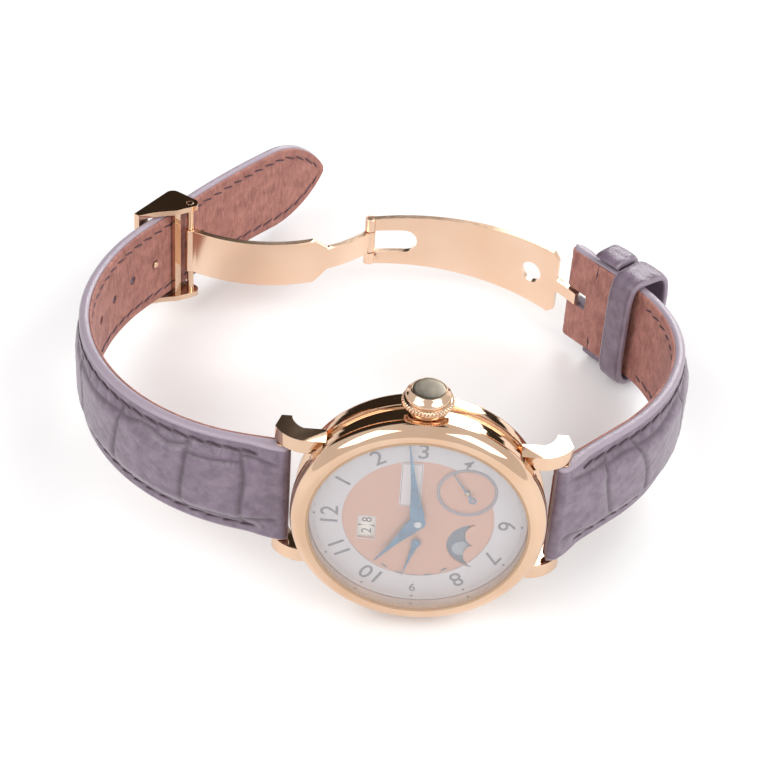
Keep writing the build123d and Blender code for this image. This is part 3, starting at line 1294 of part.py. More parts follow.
def cheek_outline():
    """Side view of a cheek: slim at the crossbar, deep at the hinge eye."""
    tip = -CROSSBAR_BEHIND
    low = STRAP_EDGE + CROSSBAR_CLEAR
    high = low + CROSSBAR_THICKNESS
    eye = HINGE_FROM_STUD
    floor = -HINGE_BELOW - CHEEK_EYE_RADIUS
    bar_floor = -FRAME_BAR_GAP - FRAME_BAR_THICKNESS - FRAME_BAR_GAP
    shoulder = (eye + CHEEK_EYE_RADIUS, CHEEK_APEX_HEIGHT - CHEEK_EYE_RADIUS)
    return [
        Line((tip, low), (tip, high)),
        Line((tip, high), (eye, CHEEK_APEX_HEIGHT)),
        ThreePointArc(
            (eye, CHEEK_APEX_HEIGHT),
            (eye + CHEEK_EYE_RADIUS * cos(radians(45)), shoulder[1] + CHEEK_EYE_RADIUS * sin(radians(45))),
            shoulder,
        ),
        Line(shoulder, (eye + CHEEK_EYE_RADIUS, -HINGE_BELOW)),
        ThreePointArc(
            (eye + CHEEK_EYE_RADIUS, -HINGE_BELOW),
            (eye + CHEEK_EYE_RADIUS * cos(radians(45)), -HINGE_BELOW - CHEEK_EYE_RADIUS * sin(radians(45))),
            (eye, floor),
        ),
        Line((eye, floor), (FRAME_BAR_START, bar_floor)),
        ThreePointArc(
            (FRAME_BAR_START, bar_floor),
            (FRAME_BAR_START * CHEEK_WAIST_SHARES[0], low * CHEEK_WAIST_SHARES[1]),
            (tip, low),
        ),
    ]


def buckle_side():
    """Inner face of a cheek from the strap's middle."""
    return half_width(1, STUD_AT) + CHEEK_GAP


def buckle_bar(start, width, floor, thickness):
    """A square bar between the cheeks."""
    middle = Pos(start + width / 2, floor + thickness / 2, 0)
    return beside(1, STUD_AT) * middle * Box(width, thickness, buckle_side() * 2 + CHEEK_THICKNESS)


def make_buckle_frame():
    plane = beside(1, STUD_AT)
    cheek = extrude(make_face(cheek_outline()), CHEEK_THICKNESS)
    body = buckle_bar(-CROSSBAR_BEHIND, CROSSBAR_WIDTH, STRAP_EDGE + CROSSBAR_CLEAR, CROSSBAR_THICKNESS)
    body += buckle_bar(
        FRAME_BAR_START, FRAME_BAR_WIDTH, -FRAME_BAR_GAP - FRAME_BAR_THICKNESS, FRAME_BAR_THICKNESS
    )
    for start in (buckle_side(), -buckle_side() - CHEEK_THICKNESS):
        body += plane * Pos(0, 0, start) * cheek
    bore = plane * Pos(HINGE_FROM_STUD, -HINGE_BELOW, 0) * Cylinder(PIN_RADIUS + SEAT_GAP, CASE_RADIUS * 2)
    return body - bore


def make_buckle_stud():
    """The fixed stud under the crossbar, which goes through a strap hole."""
    length = STRAP_EDGE + CROSSBAR_CLEAR + STUD_PROUD
    pin = Rot(-90, 0, 0) * Cylinder(STUD_RADIUS, length, align=BASE)
    return beside(1, STUD_AT) * Pos(0, -STUD_PROUD, 0) * pin


def pivot(name):
    """Clasp pivots in the plane of the strap paths."""
    if name == "buckle":
        point = beside(1, STUD_AT) * Pos(HINGE_FROM_STUD, -HINGE_BELOW, 0)
        return point.position.X, point.position.Z
    if name == "end":
        point = beside(-1, SHORT_LENGTH) * Pos(0, SHORT_FOLD_THICKNESS / 2, 0)
        return point.position.X, point.position.Z
    return CLASP_HINGE_X, CLASP_HINGE_Z


def make_buckle_pin():
    x, z = pivot("buckle")
    reach = buckle_side() + CHEEK_THICKNESS
    return bar_along_y(PIN_RADIUS, x, z, -reach, reach)


# Folding blades between buckle and the short half's end

def blade(start, end, sagitta, outline, overhang=0):
    """A curved strip between two pivots, bowed to one side and trimmed to a plan outline."""
    chord = hypot(end[0] - start[0], end[1] - start[1])
    radius = (chord ** 2 / 4 + sagitta ** 2) / (2 * abs(sagitta))
    bow = 1 if sagitta > 0 else -1
    angle = direction(start, end)
    plane = Plane(
        origin=(start[0], 0, start[1]), x_dir=(cos(radians(angle)), 0, sin(radians(angle))), z_dir=(0, -1, 0)
    )
    middle = bow * (abs(sagitta) - radius)
    half = BLADE_THICKNESS / 2
    edges = []
    for offset in (-half, half):
        reach = (radius + offset) / radius
        rise = sqrt(radius ** 2 - chord ** 2 / 4) * bow
        ends = [(chord / 2 + side * chord / 2 * reach, middle + rise * reach) for side in (-1, 1)]
        if overhang:
            past = asin(chord / 2 / radius) + overhang / radius
            ends[1] = (chord / 2 + sin(past) * radius * reach, middle + bow * cos(past) * radius * reach)
        edges.append(ThreePointArc(ends[0], (chord / 2, middle + bow * (radius + offset)), ends[1]))
    edges.append(Line(edges[0] @ 0, edges[1] @ 0))
    edges.append(Line(edges[0] @ 1, edges[1] @ 1))
    band = plane * extrude(make_face(edges), OUTER_BLADE_END_HALF_WIDTH, both=True)
    plan = Plane(
        origin=(start[0], 0, start[1]),
        x_dir=(cos(radians(angle)), 0, sin(radians(angle))),
        z_dir=(-sin(radians(angle)), 0, cos(radians(angle))),
    )
    return band & (plan * extrude(outline, chord, both=True))


def mirrored_outline(points):
    lower = [(x, -y) for x, y in reversed(points)]
    return make_face(Polyline(*(points + lower), close=True))


def knuckle(name, low, high):
    x, z = pivot(name)
    return bar_along_y(KNUCKLE_RADIUS, x, z, low, high)


def pin_bore(name, radius):
    x, z = pivot(name)
    return bar_along_y(radius, x, z, -CASE_RADIUS, CASE_RADIUS)


def make_inner_blade():
    start = pivot("buckle")
    end = pivot("hinge")
    chord = hypot(end[0] - start[0], end[1] - start[1])
    outline = mirrored_outline([
        (-KNUCKLE_RADIUS, INNER_BLADE_HALF_WIDTH),
        (chord - TONGUE_LENGTH - TONGUE_SHOULDER, INNER_BLADE_HALF_WIDTH),
        (chord - TONGUE_LENGTH, TONGUE_HALF_WIDTH),
        (chord + KNUCKLE_RADIUS, TONGUE_HALF_WIDTH),
    ])
    body = blade(start, end, -INNER_BLADE_SAGITTA, outline)
    body += knuckle("buckle", -INNER_BLADE_HALF_WIDTH, INNER_BLADE_HALF_WIDTH)
    body += knuckle("hinge", -TONGUE_HALF_WIDTH, TONGUE_HALF_WIDTH)
    return body - pin_bore("buckle", PIN_RADIUS + PIVOT_CLEARANCE) - pin_bore(
        "hinge", PIN_RADIUS + PIVOT_CLEARANCE
    )


def tab_end():
    """Where the outer blade's middle line passes under the strap end bar."""
    drop = END_BAR_RADIUS + TAB_GAP + BLADE_THICKNESS / 2
    x, z = pivot("end")
    angle = radians(direction(pivot("hinge"), (x, z)))
    return x + drop * sin(angle), z - drop * cos(angle)


def make_outer_blade():
    start = pivot("hinge")
    end = tab_end()
    chord = hypot(end[0] - start[0], end[1] - start[1])
    edge = chord - OUTER_BLADE_END_GAP
    outline = mirrored_outline([
        (-KNUCKLE_RADIUS, OUTER_BLADE_HALF_WIDTH),
        (edge - OUTER_BLADE_CORNER, OUTER_BLADE_END_HALF_WIDTH),
        (edge, OUTER_BLADE_END_HALF_WIDTH - OUTER_BLADE_CORNER),
        (edge, TAB_HALF_WIDTH),
        (chord + TAB_OVERHANG, TAB_HALF_WIDTH),
    ])
    slot = TONGUE_HALF_WIDTH + SIDE_PLAY
    outline -= Pos((SLOT_LENGTH - slot) / 2 - OVERRUN, 0, 0) * Rectangle(
        SLOT_LENGTH - slot + OVERRUN * 2, slot * 2
    )
    outline -= Pos(SLOT_LENGTH - slot, 0, 0) * Circle(slot)
    outline -= Pos(edge - BLADE_HOLE_FROM_END, 0, 0) * Circle(BLADE_HOLE_RADIUS)
    body = blade(start, end, OUTER_BLADE_SAGITTA, outline, TAB_OVERHANG)
    for low, high in ((-OUTER_BLADE_HALF_WIDTH, -slot), (slot, OUTER_BLADE_HALF_WIDTH)):
        body += knuckle("hinge", low, high)
    return body - pin_bore("hinge", PIN_RADIUS + SEAT_GAP)


def make_clasp_hinge_pin():
    x, z = pivot("hinge")
    return bar_along_y(PIN_RADIUS, x, z, -OUTER_BLADE_HALF_WIDTH, OUTER_BLADE_HALF_WIDTH)


def make_strap_end_bar():
    x, z = pivot("end")
    reach = SHORT_END_HALF_WIDTH - END_BAR_INSET
    return bar_along_y(END_BAR_RADIUS, x, z, -reach, reach)


# Keepers on the short half

def keeper(distance, inner, outer, closed):
    """A leather band across the strap, open or closed on the lining's side."""
    half = half_width(-1, distance) + KEEPER_SIDE_GAP
    wall = KEEPER_LEATHER
    height = outer - inner
    shape = Pos(0, inner + height / 2, 0) * Rectangle((half + wall) * 2, height + wall * 2)
    room = Rectangle(half * 2, height)
    if not closed:
        room = Rectangle(half * 2, height + wall + OVERRUN, align=(Align.CENTER, Align.MAX))
        shape = Pos(0, outer + wall, 0) * Rectangle(
            (half + wall) * 2, height + wall, align=(Align.CENTER, Align.MAX)
        )
        shape -= Pos(0, outer, 0) * room
    else:
        shape -= Pos(0, inner + height / 2, 0) * room
    return across(-1, distance) * extrude(shape, KEEPER_WIDTH / 2, both=True)


def make_fixed_keeper():
    return keeper(FIXED_KEEPER_AT, LINING_THICKNESS, SHORT_FOLD_THICKNESS + KEEPER_ROOM, False)


def make_free_keeper():
    outer = SHORT_FOLD_THICKNESS + FREE_KEEPER_ROOM
    return keeper(FREE_KEEPER_AT, -FREE_KEEPER_LINING_GAP, outer, True)


# All nodes, in the case's own frame

NODES = {
    "mid_case": make_mid_case(),
    "bezel": make_bezel(),
    "front_crystal": make_front_crystal(),
    "crystal_gasket": make_crystal_gasket(),
    "case_back": make_case_back(),
    "back_gasket": make_back_gasket(),
    "back_crystal": make_back_crystal(),
    "case_back_screws": make_back_screws(),
    "crown_tube": make_crown_tube(),
    "lug_spring_bars": make_spring_bars(),
    "movement_ring": make_movement_ring(),
    "dial_plate": make_dial_plate(),
    "chapter_ring": make_chapter_ring(),
    "seconds_ring": make_seconds_ring(),
    "blank_plate": make_blank_plate(),
    "disc_posts": make_disc_posts(),
    "main_plate": make_main_plate(),
    "train_bridge": make_train_bridge(),
    "barrel_bridge": make_barrel_bridge(),
    "balance_cock": make_balance_cock(),
    "pallet_bridge": make_pallet_bridge(),
    "bridge_screws": make_bridge_screws(),
    "jewels": make_jewels(),
    "hairspring": make_hairspring(),
    "rotor_post": make_rotor_post(),
    "winding_pinion": make_winding_pinion(),
    "winding_stem": make_winding_stem(),
    "crown": make_crown(),
    "minute_hand": make_minute_hand(),
    "centre_wheel": make_centre_wheel(),
    "hour_hand": make_hour_hand(),
    "hour_wheel": make_hour_wheel(),
    "seconds_hand": make_seconds_hand(),
    "fourth_wheel": make_fourth_wheel(),
    "third_wheel": make_third_wheel(),
    "escape_wheel": make_escape_wheel(),
    "mainspring_barrel": make_barrel(),
    "pallet_fork": make_pallet_fork(),
    "balance_wheel": make_balance_wheel(),
    "reserve_hand": make_reserve_hand(),
    "rotor_carrier": make_rotor_carrier(),
    "rotor_weight": make_rotor_weight(),
    "strap_long_upper": make_strap_upper(1),
    "strap_long_lining": make_strap_lining(1),
    "buckle_frame": make_buckle_frame(),
    "buckle_stud": make_buckle_stud(),
    "buckle_pin": make_buckle_pin(),
    "clasp_inner_blade": make_inner_blade(),
    "clasp_outer_blade": make_outer_blade(),
    "clasp_hinge_pin": make_clasp_hinge_pin(),
    "strap_short_upper": make_strap_upper(-1),
    "strap_short_lining": make_strap_lining(-1),
    "strap_end_bar": make_strap_end_bar(),
    "fixed_keeper": make_fixed_keeper(),
    "free_keeper": make_free_keeper(),
}
for disc_name, (disc_x, disc_y, disc_radius) in disc_places().items():
    NODES[disc_name] = make_indicator_disc(disc_x, disc_y, disc_radius)


# The resting pose: the case rim, the strap's tail and the free keeper touch the table

def resting_pose():
    """Location that takes the case's own frame to the table, dial facing forward."""
    tail = max(strap_stations(1), key=lambda s: half_width(1, s) - abs(s - LONG_LENGTH + TAIL_POINT_LENGTH) / STRAP_CROWN_AT)
    x, z, heading = walk(1, tail)
    tail_point = Vector(x, half_width(1, tail), z)
    corner = across(-1, FREE_KEEPER_AT) * Pos(0, -FREE_KEEPER_LINING_GAP - KEEPER_LEATHER, 0)
    keeper_half = half_width(-1, FREE_KEEPER_AT) + KEEPER_SIDE_GAP + KEEPER_LEATHER
    keeper_point = Vector(corner.position.X, keeper_half, corner.position.Z)
    rim_point = Vector(0, RIM_RADIUS, BAND_REAR)
    for step in range(REST_STEPS):
        down = (tail_point - rim_point).cross(keeper_point - rim_point).normalized()
        down = down if down.Y > 0 else down * -1
        flat = hypot(down.X, down.Y)
        rim_point = Vector(RIM_RADIUS * down.X / flat, RIM_RADIUS * down.Y / flat, BAND_REAR)
    up = down * -1
    ahead = (Vector(1, 0, 0) - up * up.X).normalized()
    return Plane(origin=rim_point, x_dir=ahead, z_dir=up).location.inverse()


pose = resting_pose()
laid = {name: [pose * solid for solid in (shape if isinstance(shape, list) else [shape])] for name, shape in NODES.items()}
boxes = [solid.bounding_box() for group in laid.values() for solid in group]
low = [min(getattr(box.min, axis) for box in boxes) for axis in "XYZ"]
high = [max(getattr(box.max, axis) for box in boxes) for axis in "XYZ"]
shift = Pos(-(low[0] + high[0]) / 2, -(low[1] + high[1]) / 2, -low[2])

os.makedirs("parts", exist_ok=True)
for name, group in laid.items():
    placed = [shift * solid for solid in group]
    shape = placed[0] if len(placed) == 1 else Compound(children=placed)
    export_step(shape, f"parts/{name}.step")
print("nodes", len(NODES))
print("least gap between hairspring coils, mm", round(hairspring_gap(), 3))
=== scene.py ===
import json
from math import pi

import bmesh
import bpy
import numpy as np
from mathutils import Matrix, Vector


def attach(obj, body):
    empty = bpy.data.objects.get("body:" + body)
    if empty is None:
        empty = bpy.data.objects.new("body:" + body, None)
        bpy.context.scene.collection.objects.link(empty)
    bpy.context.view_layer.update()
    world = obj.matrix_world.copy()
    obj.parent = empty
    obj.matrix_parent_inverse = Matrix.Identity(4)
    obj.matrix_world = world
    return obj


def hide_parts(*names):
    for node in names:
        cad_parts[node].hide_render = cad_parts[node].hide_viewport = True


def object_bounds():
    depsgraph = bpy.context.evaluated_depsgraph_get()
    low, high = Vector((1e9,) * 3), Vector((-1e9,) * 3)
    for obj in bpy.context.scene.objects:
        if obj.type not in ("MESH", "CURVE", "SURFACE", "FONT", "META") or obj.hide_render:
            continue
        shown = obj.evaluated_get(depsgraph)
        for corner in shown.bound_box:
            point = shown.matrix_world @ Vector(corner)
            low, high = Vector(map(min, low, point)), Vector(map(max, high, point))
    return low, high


# A wristwatch in rose gold on an alligator strap, standing on its side with the folding clasp open.
# Lengths in this file are millimetres in the case's own frame: x towards six o'clock, y towards nine
# o'clock, z from the dial face towards the case back. Everything goes to metres in the shared frame when
# a mesh is made.

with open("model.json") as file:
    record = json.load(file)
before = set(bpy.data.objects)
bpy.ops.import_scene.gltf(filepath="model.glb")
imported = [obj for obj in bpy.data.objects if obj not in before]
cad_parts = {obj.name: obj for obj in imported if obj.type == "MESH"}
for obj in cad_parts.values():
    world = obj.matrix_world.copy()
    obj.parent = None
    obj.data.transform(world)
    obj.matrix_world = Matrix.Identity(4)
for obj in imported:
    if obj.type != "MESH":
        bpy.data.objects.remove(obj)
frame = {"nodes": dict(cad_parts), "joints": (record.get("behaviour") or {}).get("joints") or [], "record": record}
cad_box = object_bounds()
NODES = frame["nodes"]
BODY_OF = {n: b for b, members in frame["record"]["behaviour"]["bodies"].items() for n in members}
SLOT_OF = {s["node"]: s["material_slot"] for s in frame["record"]["subparts"]}
JOINTS = {j["name"]: j for j in frame["joints"]}
rng = np.random.default_rng(7)

MM = 0.001
MM_PER_METRE = 1000

# Case frame, read from the hands' and the crown's joints
Z_AXIS = np.array(JOINTS["minutes_turn"]["axis"], float)
Y_AXIS = -np.array(JOINTS["crown_turn"]["axis"], float)
X_AXIS = np.cross(Y_AXIS, Z_AXIS)
AXES = np.array([X_AXIS, Y_AXIS, Z_AXIS])


def node_points(node):
    """Corners of a CAD node's mesh in the shared frame, in metres."""
    mesh = NODES[node].data
    points = np.empty(len(mesh.vertices) * 3, np.float32)
    mesh.vertices.foreach_get("co", points)
    return points.reshape(-1, 3).astype(float)


def case_origin():
    """The hands' axis, taken to the level of the chapter ring's face."""
    on_axis = np.array(JOINTS["minutes_turn"]["pos_m"], float)
    level = ((node_points("chapter_ring") - on_axis) @ Z_AXIS).min()
    return on_axis + level * Z_AXIS


ORIGIN = case_origin()


def placed(points):
    """Case frame points in millimetres to shared frame points in metres."""
    return ORIGIN + (np.asarray(points, float) * MM) @ AXES


def in_case(points):
    """Row frame points in metres to case frame points in millimetres."""
    return ((points - ORIGIN) @ AXES.T) * MM_PER_METRE


# Camera: it stands where the photograph was taken from

CAMERA_AT = (-6.14, -220.9, -247.5)
CAMERA_FORWARD = (-0.002048, 0.618141, 0.786065)
CAMERA_UP = (-0.073791, -0.784017, 0.616338)
CAMERA_LENS = 100
CAMERA_SENSOR = 36
CAMERA_NEAREST = 10 * MM


def direction(vector):
    """A case frame direction as a unit vector in the shared frame."""
    return Vector(np.asarray(vector, float) @ AXES).normalized()


def make_camera():
    """A camera at the photograph's place, looking along its forward direction with its up upwards."""
    data = bpy.data.cameras.new("camera")
    data.lens = CAMERA_LENS
    data.sensor_width = CAMERA_SENSOR
    data.clip_start = CAMERA_NEAREST
    camera = bpy.data.objects.new("camera", data)
    bpy.context.scene.collection.objects.link(camera)
    back = -direction(CAMERA_FORWARD)
    right = direction(CAMERA_UP).cross(back).normalized()
    up = back.cross(right)
    turn = Matrix((right, up, back)).transposed().to_4x4()
    camera.matrix_world = Matrix.Translation(Vector(placed([CAMERA_AT])[0])) @ turn
    bpy.context.scene.camera = camera


make_camera()


# Materials

def linear(hex_code):
    """An sRGB hex colour as linear red, green, blue and an alpha of one."""
    values = np.array([int(hex_code[i:i + 2], 16) for i in (1, 3, 5)]) / 255
    low = values / 12.92
    high = ((values + 0.055) / 1.055) ** 2.4
    return (*np.where(values <= 0.04045, low, high), 1.0)


def add(tree, kind, settings=None, **links):
    """Adds a node, sets its properties, its ramp's stops and its plain input values, and links other inputs
    to sockets."""
    node = tree.nodes.new(kind)
    for key, value in (settings or {}).items():
        if key == "stops":
            for stop, (stop_at, colour) in zip(node.color_ramp.elements, value):
                stop.position, stop.color = stop_at, colour
        elif isinstance(key, str) and hasattr(node, key):
            setattr(node, key, value)
        else:
            node.inputs[key].default_value = value
    for key, source in links.items():
        slot = int(key[1:]) if key[0] == "i" and key[1:].isdigit() else key.replace("_", " ")
        tree.links.new(source, node.inputs[slot])
    return node


def finish(name, base, roughness, **values):
    """A new material with one Principled shader; returns the material, its tree and the shader."""
    material = bpy.data.materials.new(name)
    material.use_nodes = True
    tree = material.node_tree
    shader = tree.nodes["Principled BSDF"]
    shader.inputs["Base Color"].default_value = linear(base)
    shader.inputs["Roughness"].default_value = roughness
    for key, value in values.items():
        shader.inputs[key.replace("_", " ")].default_value = value
    return material, tree, shader


# A pattern's values between which two tones blend, and how much finer detail a grain has
BLEND_BETWEEN = (0.3, 0.7)
GRAIN_DETAIL = 3.0


def patterned(name, tones, roughness, size_mm, detail=2.0, grain_mm=0.0, relief_mm=0.0, **values):
    """A material that follows a noise on Object coordinates, which are metres, with features of a size in
    millimetres. Two tones, and two roughnesses where there are two, blend with it. Relief of a depth in
    millimetres rises with it too, or with a grain of its own size."""
    material, tree, shader = finish(name, tones[-1], roughness[0], **values)
    place = add(tree, "ShaderNodeTexCoord").outputs["Object"]
    look = {"Scale": MM_PER_METRE / size_mm, "Detail": detail}
    noise = add(tree, "ShaderNodeTexNoise", look, Vector=place).outputs["Fac"]
    ends = {"Base Color": [linear(tone) for tone in tones], "Roughness": [(r, r, r, 1) for r in roughness]}
    for socket, pair in ends.items():
        if len(pair) == 2:
            stops = {"stops": zip(BLEND_BETWEEN, pair)}
            ramp = add(tree, "ShaderNodeValToRGB", stops, Fac=noise)
            tree.links.new(ramp.outputs["Color"], shader.inputs[socket])
    if grain_mm:
        look = {"Scale": MM_PER_METRE / grain_mm, "Detail": GRAIN_DETAIL}
        noise = add(tree, "ShaderNodeTexNoise", look, Vector=place).outputs["Fac"]
    if relief_mm:
        bump = add(tree, "ShaderNodeBump", {"Distance": relief_mm * MM, "Strength": 1.0}, Height=noise)
        tree.links.new(bump.outputs["Normal"], shader.inputs["Normal"])
    return material


def metal(name, dark, light, smooth, rough, patch_mm, grain_mm=0.0, grain_depth=0.0):
    """Bare metal: a slow drift of colour and polish, and a fine grain where it is brushed or blasted. The
    grain is drawn coarser than the real one, so that it shows."""
    tones, roughness = (dark, light), (smooth, rough)
    return patterned(name, tones, roughness, patch_mm, grain_mm=grain_mm, relief_mm=grain_depth, Metallic=1.0)


# 18 carat rose gold, lapped and polished: mirror-like, with a faint drift where the wheel has passed
ROSE_GOLD = metal("rose_gold_polished", "#d8b598", "#e0c2a8", 0.05, 0.11, 9.0)
# The same gold on the folding blades, finished with a fine satin that spreads the light
ROSE_GOLD_SATIN = metal("rose_gold_satin", "#ecc8ab", "#f3d6be", 0.16, 0.26, 12.0, 0.09, 0.003)
# Inlaid end of the crown, brushed grey metal left bare: a soft, even gloss
CROWN_INLAY = metal("crown_inlay_brushed", "#635d54", "#7d766a", 0.3, 0.4, 2.0, 0.12, 0.006)
# Rhodium-plated brass of plates and bridges, blasted to a fine frosted grain
NICKEL_PLATE = metal("rhodium_plated_brass", "#b9b7b2", "#cfcdc8", 0.22, 0.32, 4.0, 0.08, 0.004)
# Steel of screws, arbors and posts, turned and polished: bright, with faint turning marks
STEEL = metal("steel_polished", "#b4b5b8", "#d2d3d6", 0.12, 0.22, 1.5, 0.06, 0.002)
# Brass of the wheels, gilt and circular-grained: warm yellow with a soft shine
WHEEL_BRASS = metal("gilt_brass_wheels", "#c29a52", "#dcb873", 0.18, 0.28, 1.5, 0.05, 0.003)
# Steel heated until it turns blue: thin oxide over a polished hand
BLUED_STEEL = metal("blued_steel", "#2f5d7e", "#4f86a8", 0.16, 0.26, 3.0)
# Screw heads blued further, to a deeper blue
BLUED_SCREW = metal("blued_screw_heads", "#20406f", "#3a5f96", 0.1, 0.2, 0.8)


def satin_paint(name, dark, light, metallic, roughness, grain_mm, depth):
    """Silvered, lacquered, printed or moulded surface with a fine grain, drawn coarser than the real one."""
    return patterned(name, (dark, light), (roughness,), grain_mm, 4.0, relief_mm=depth, Metallic=metallic)


# Dial of brass, grained and plated rose: matt, with a hint of metal
DIAL_ROSE = satin_paint("dial_rose_gold_grained", "#bd8a72", "#c6957e", 0.35, 0.42, 0.12, 0.003)
# Chapter ring, cartouche and seconds ring, grained and silvered: pale greys that differ a little
CHAPTER_SILVER = satin_paint("chapter_ring_silvered", "#b9b5b9", "#c5c1c5", 0.3, 0.42, 0.12, 0.003)
PLATE_SILVER = satin_paint("cartouche_silvered", "#c9bfc0", "#d6cdce", 0.3, 0.4, 0.12, 0.002)
RING_GREY = satin_paint("seconds_ring_silvered", "#a1989f", "#afa6ac", 0.3, 0.42, 0.12, 0.003)
# Date discs, sprayed with cream lacquer: plain and matt
DATE_CREAM = satin_paint("date_disc_lacquer", "#d9d3cb", "#e3ded8", 0.0, 0.45, 0.15, 0.002)
# Ink printed with a pad, dark for figures and paler for the fine track
PRINT_GREY = satin_paint("dial_print_grey", "#4b4d58", "#565863", 0.0, 0.5, 0.1, 0.002)
PRINT_SOFT = satin_paint("dial_print_pale", "#7d7b88", "#898793", 0.0, 0.5, 0.1, 0.002)
# Nylon seal under the crystal, moulded and dyed tan to go with the gold
SEAL_NYLON = satin_paint("nylon_seal_tan", "#a38468", "#b29276", 0.0, 0.5, 0.2, 0.002)
# Seal of the case back, moulded in black nitrile: dull
SEAL_RUBBER = satin_paint("nitrile_seal", "#141414", "#1d1d1d", 0.0, 0.6, 0.1, 0.004)
# Moon disc in night blue enamel, its moons and stars in relief of pale silver
MOON_NIGHT = satin_paint("moon_disc_enamel", "#3b4d63", "#4a5d75", 0.2, 0.3, 0.35, 0.002)
MOON_PALE = satin_paint("moon_relief_silver", "#7c8995", "#98a4ae", 0.5, 0.35, 0.45, 0.02)


def clear_stone(name, tint, painted_reflection_veil):
    """Sapphire, ground and polished: nearly clear, with a sharp gloss and a light veil of its pale tint, which is
    a painted reflection of the white room.
    """
    return patterned(name, (tint,), (0.02, 0.05), 6.0, Alpha=painted_reflection_veil, IOR=1.77)


# Each crystal's veil, the front one stronger, is a painted reflection of the white room over what lies behind it
SAPPHIRE = clear_stone("sapphire_crystal", "#ebe8e8", 0.15)
BACK_SAPPHIRE = clear_stone("display_back_crystal", "#eef0f2", 0.1)
# Synthetic ruby bearings, polished: deep red with a glassy gloss
RUBY = patterned("synthetic_ruby", ("#8c0c33", "#b81a4a"), (0.08,), 0.5, IOR=1.76)

# Shared by all hides, on a map in millimetres: slow drifts of tone, the pattern's values between which the
# two tones blend, and how deep the pores are beside the creases
HIDE_DRIFT_PER_MM = 0.35
HIDE_TONES = (0.38, 0.62)
PORE_SHARE = 0.6


def leather(name, dark, light, roughness, pore_mm, pore_depth, crease_mm, groove=None, edge=None, across=1.0):
    """Tanned hide: pores from a cell pattern, soft creases, darker grooves and paler painted edges. A share
    below one for across draws the creases out sideways."""
    material, tree, shader = finish(name, light, roughness, Sheen_Weight=0.08, Sheen_Roughness=0.4)
    uv = add(tree, "ShaderNodeUVMap", {"uv_map": "surface_mm"}).outputs["UV"]
    drawn = add(tree, "ShaderNodeMapping", {"Scale": (1.0, across, 1.0)}, Vector=uv).outputs["Vector"]
    drifts = {"Scale": HIDE_DRIFT_PER_MM, "Detail": 3.0}
    drift = add(tree, "ShaderNodeTexNoise", drifts, Vector=uv).outputs["Fac"]
    cells = {"Scale": 1 / pore_mm, "Randomness": 0.9}
    pores = add(tree, "ShaderNodeTexVoronoi", cells, Vector=uv).outputs["Distance"]
    folds = {"Scale": 1 / crease_mm, "Detail": 4.0, "Distortion": 0.8}
    creases = add(tree, "ShaderNodeTexNoise", folds, Vector=drawn).outputs["Fac"]
    tone = add(tree, "ShaderNodeMath", {"operation": "ADD"}, i0=drift, i1=creases).outputs["Value"]
    halved = add(tree, "ShaderNodeMath", {"operation": "MULTIPLY", 1: 0.5}, i0=tone).outputs["Value"]
    stops = {"stops": zip(HIDE_TONES, (linear(dark), linear(light)))}
    colour = add(tree, "ShaderNodeValToRGB", stops, Fac=halved).outputs["Color"]
    relief = {"operation": "MULTIPLY_ADD", 1: PORE_SHARE}
    height = add(tree, "ShaderNodeMath", relief, i0=pores, i2=creases).outputs["Value"]
    for attribute, tint in (("groove", groove), ("edge", edge)):
        if tint:
            mask = add(tree, "ShaderNodeAttribute", {"attribute_name": attribute}).outputs["Fac"]
            mixer = add(tree, "ShaderNodeMix", {"data_type": "RGBA", 7: linear(tint)}, i0=mask, i6=colour)
            colour = mixer.outputs[2]
    tree.links.new(colour, shader.inputs["Base Color"])
    bump = add(tree, "ShaderNodeBump", {"Distance": pore_depth * MM, "Strength": 1.0}, Height=height)
    tree.links.new(bump.outputs["Normal"], shader.inputs["Normal"])
    return material


# Alligator flank, dyed mauve grey and glazed by rubbing: low gloss, fine pores, darker between scales and
# paler on the painted edges
ALLIGATOR = leather(
    "alligator_mauve_glazed", "#675867", "#7f6f7e", 0.31, 0.35, 0.06, 1.6, groove="#41343d", edge="#9c8f9b",
)
# Calf lining, tanned rust brown, matt with close pores and long soft creases
LINING = leather("calf_lining_rust", "#8a574e", "#b0786c", 0.6, 0.5, 0.1, 0.55, across=0.3)
# Linen thread, twisted and waxed, dark plum: dull, with the twist seen as fine shades
THREAD = patterned("waxed_linen_thread", ("#39262f", "#5b4450"), (0.55,), 0.25, relief_mm=0.05)


# Meshes

# Corners nearer than this are one, in metres; faces that turn less than this are one flat, in radians
MERGE_DISTANCE = 1e-7
CAD_MERGE_DISTANCE = 2e-6
FLAT_ANGLE = 0.01
BEVEL_FROM_ANGLE = 0.6


def add_piece(name, mesh, body, replaced=()):
    """An object for a mesh, which rides on a body and stands for the CAD nodes that it replaces."""
    piece = bpy.data.objects.new(name, mesh)
    bpy.context.scene.collection.objects.link(piece)
    if replaced:
        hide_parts(*replaced)
    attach(piece, body)
    return piece


def mesh_piece(name, points, faces, material, body, replaced=(), smooth=True, uv=None, **attributes):
    """A mesh from case frame points and faces, riding on a body, with a map in millimetres and named
    attributes where they are given."""
    mesh = bpy.data.meshes.new(name)
    mesh.from_pydata(placed(points).tolist(), [], [list(map(int, f)) for f in faces])
    if uv is not None:
        corners = np.empty(len(mesh.loops), np.int32)
        mesh.loops.foreach_get("vertex_index", corners)
        layer = mesh.uv_layers.new(name="surface_mm")
        layer.data.foreach_set("uv", np.asarray(uv, np.float32)[corners].ravel())
    for key, values in attributes.items():
        flat = np.asarray(values, np.float32).ravel()
        mesh.attributes.new(key, "FLOAT", "POINT").data.foreach_set("value", flat)
    mesh.polygons.foreach_set("use_smooth", np.full(len(mesh.polygons), smooth))
    mesh.materials.append(material)
    mesh.update()
    return add_piece(name, mesh, body, replaced)


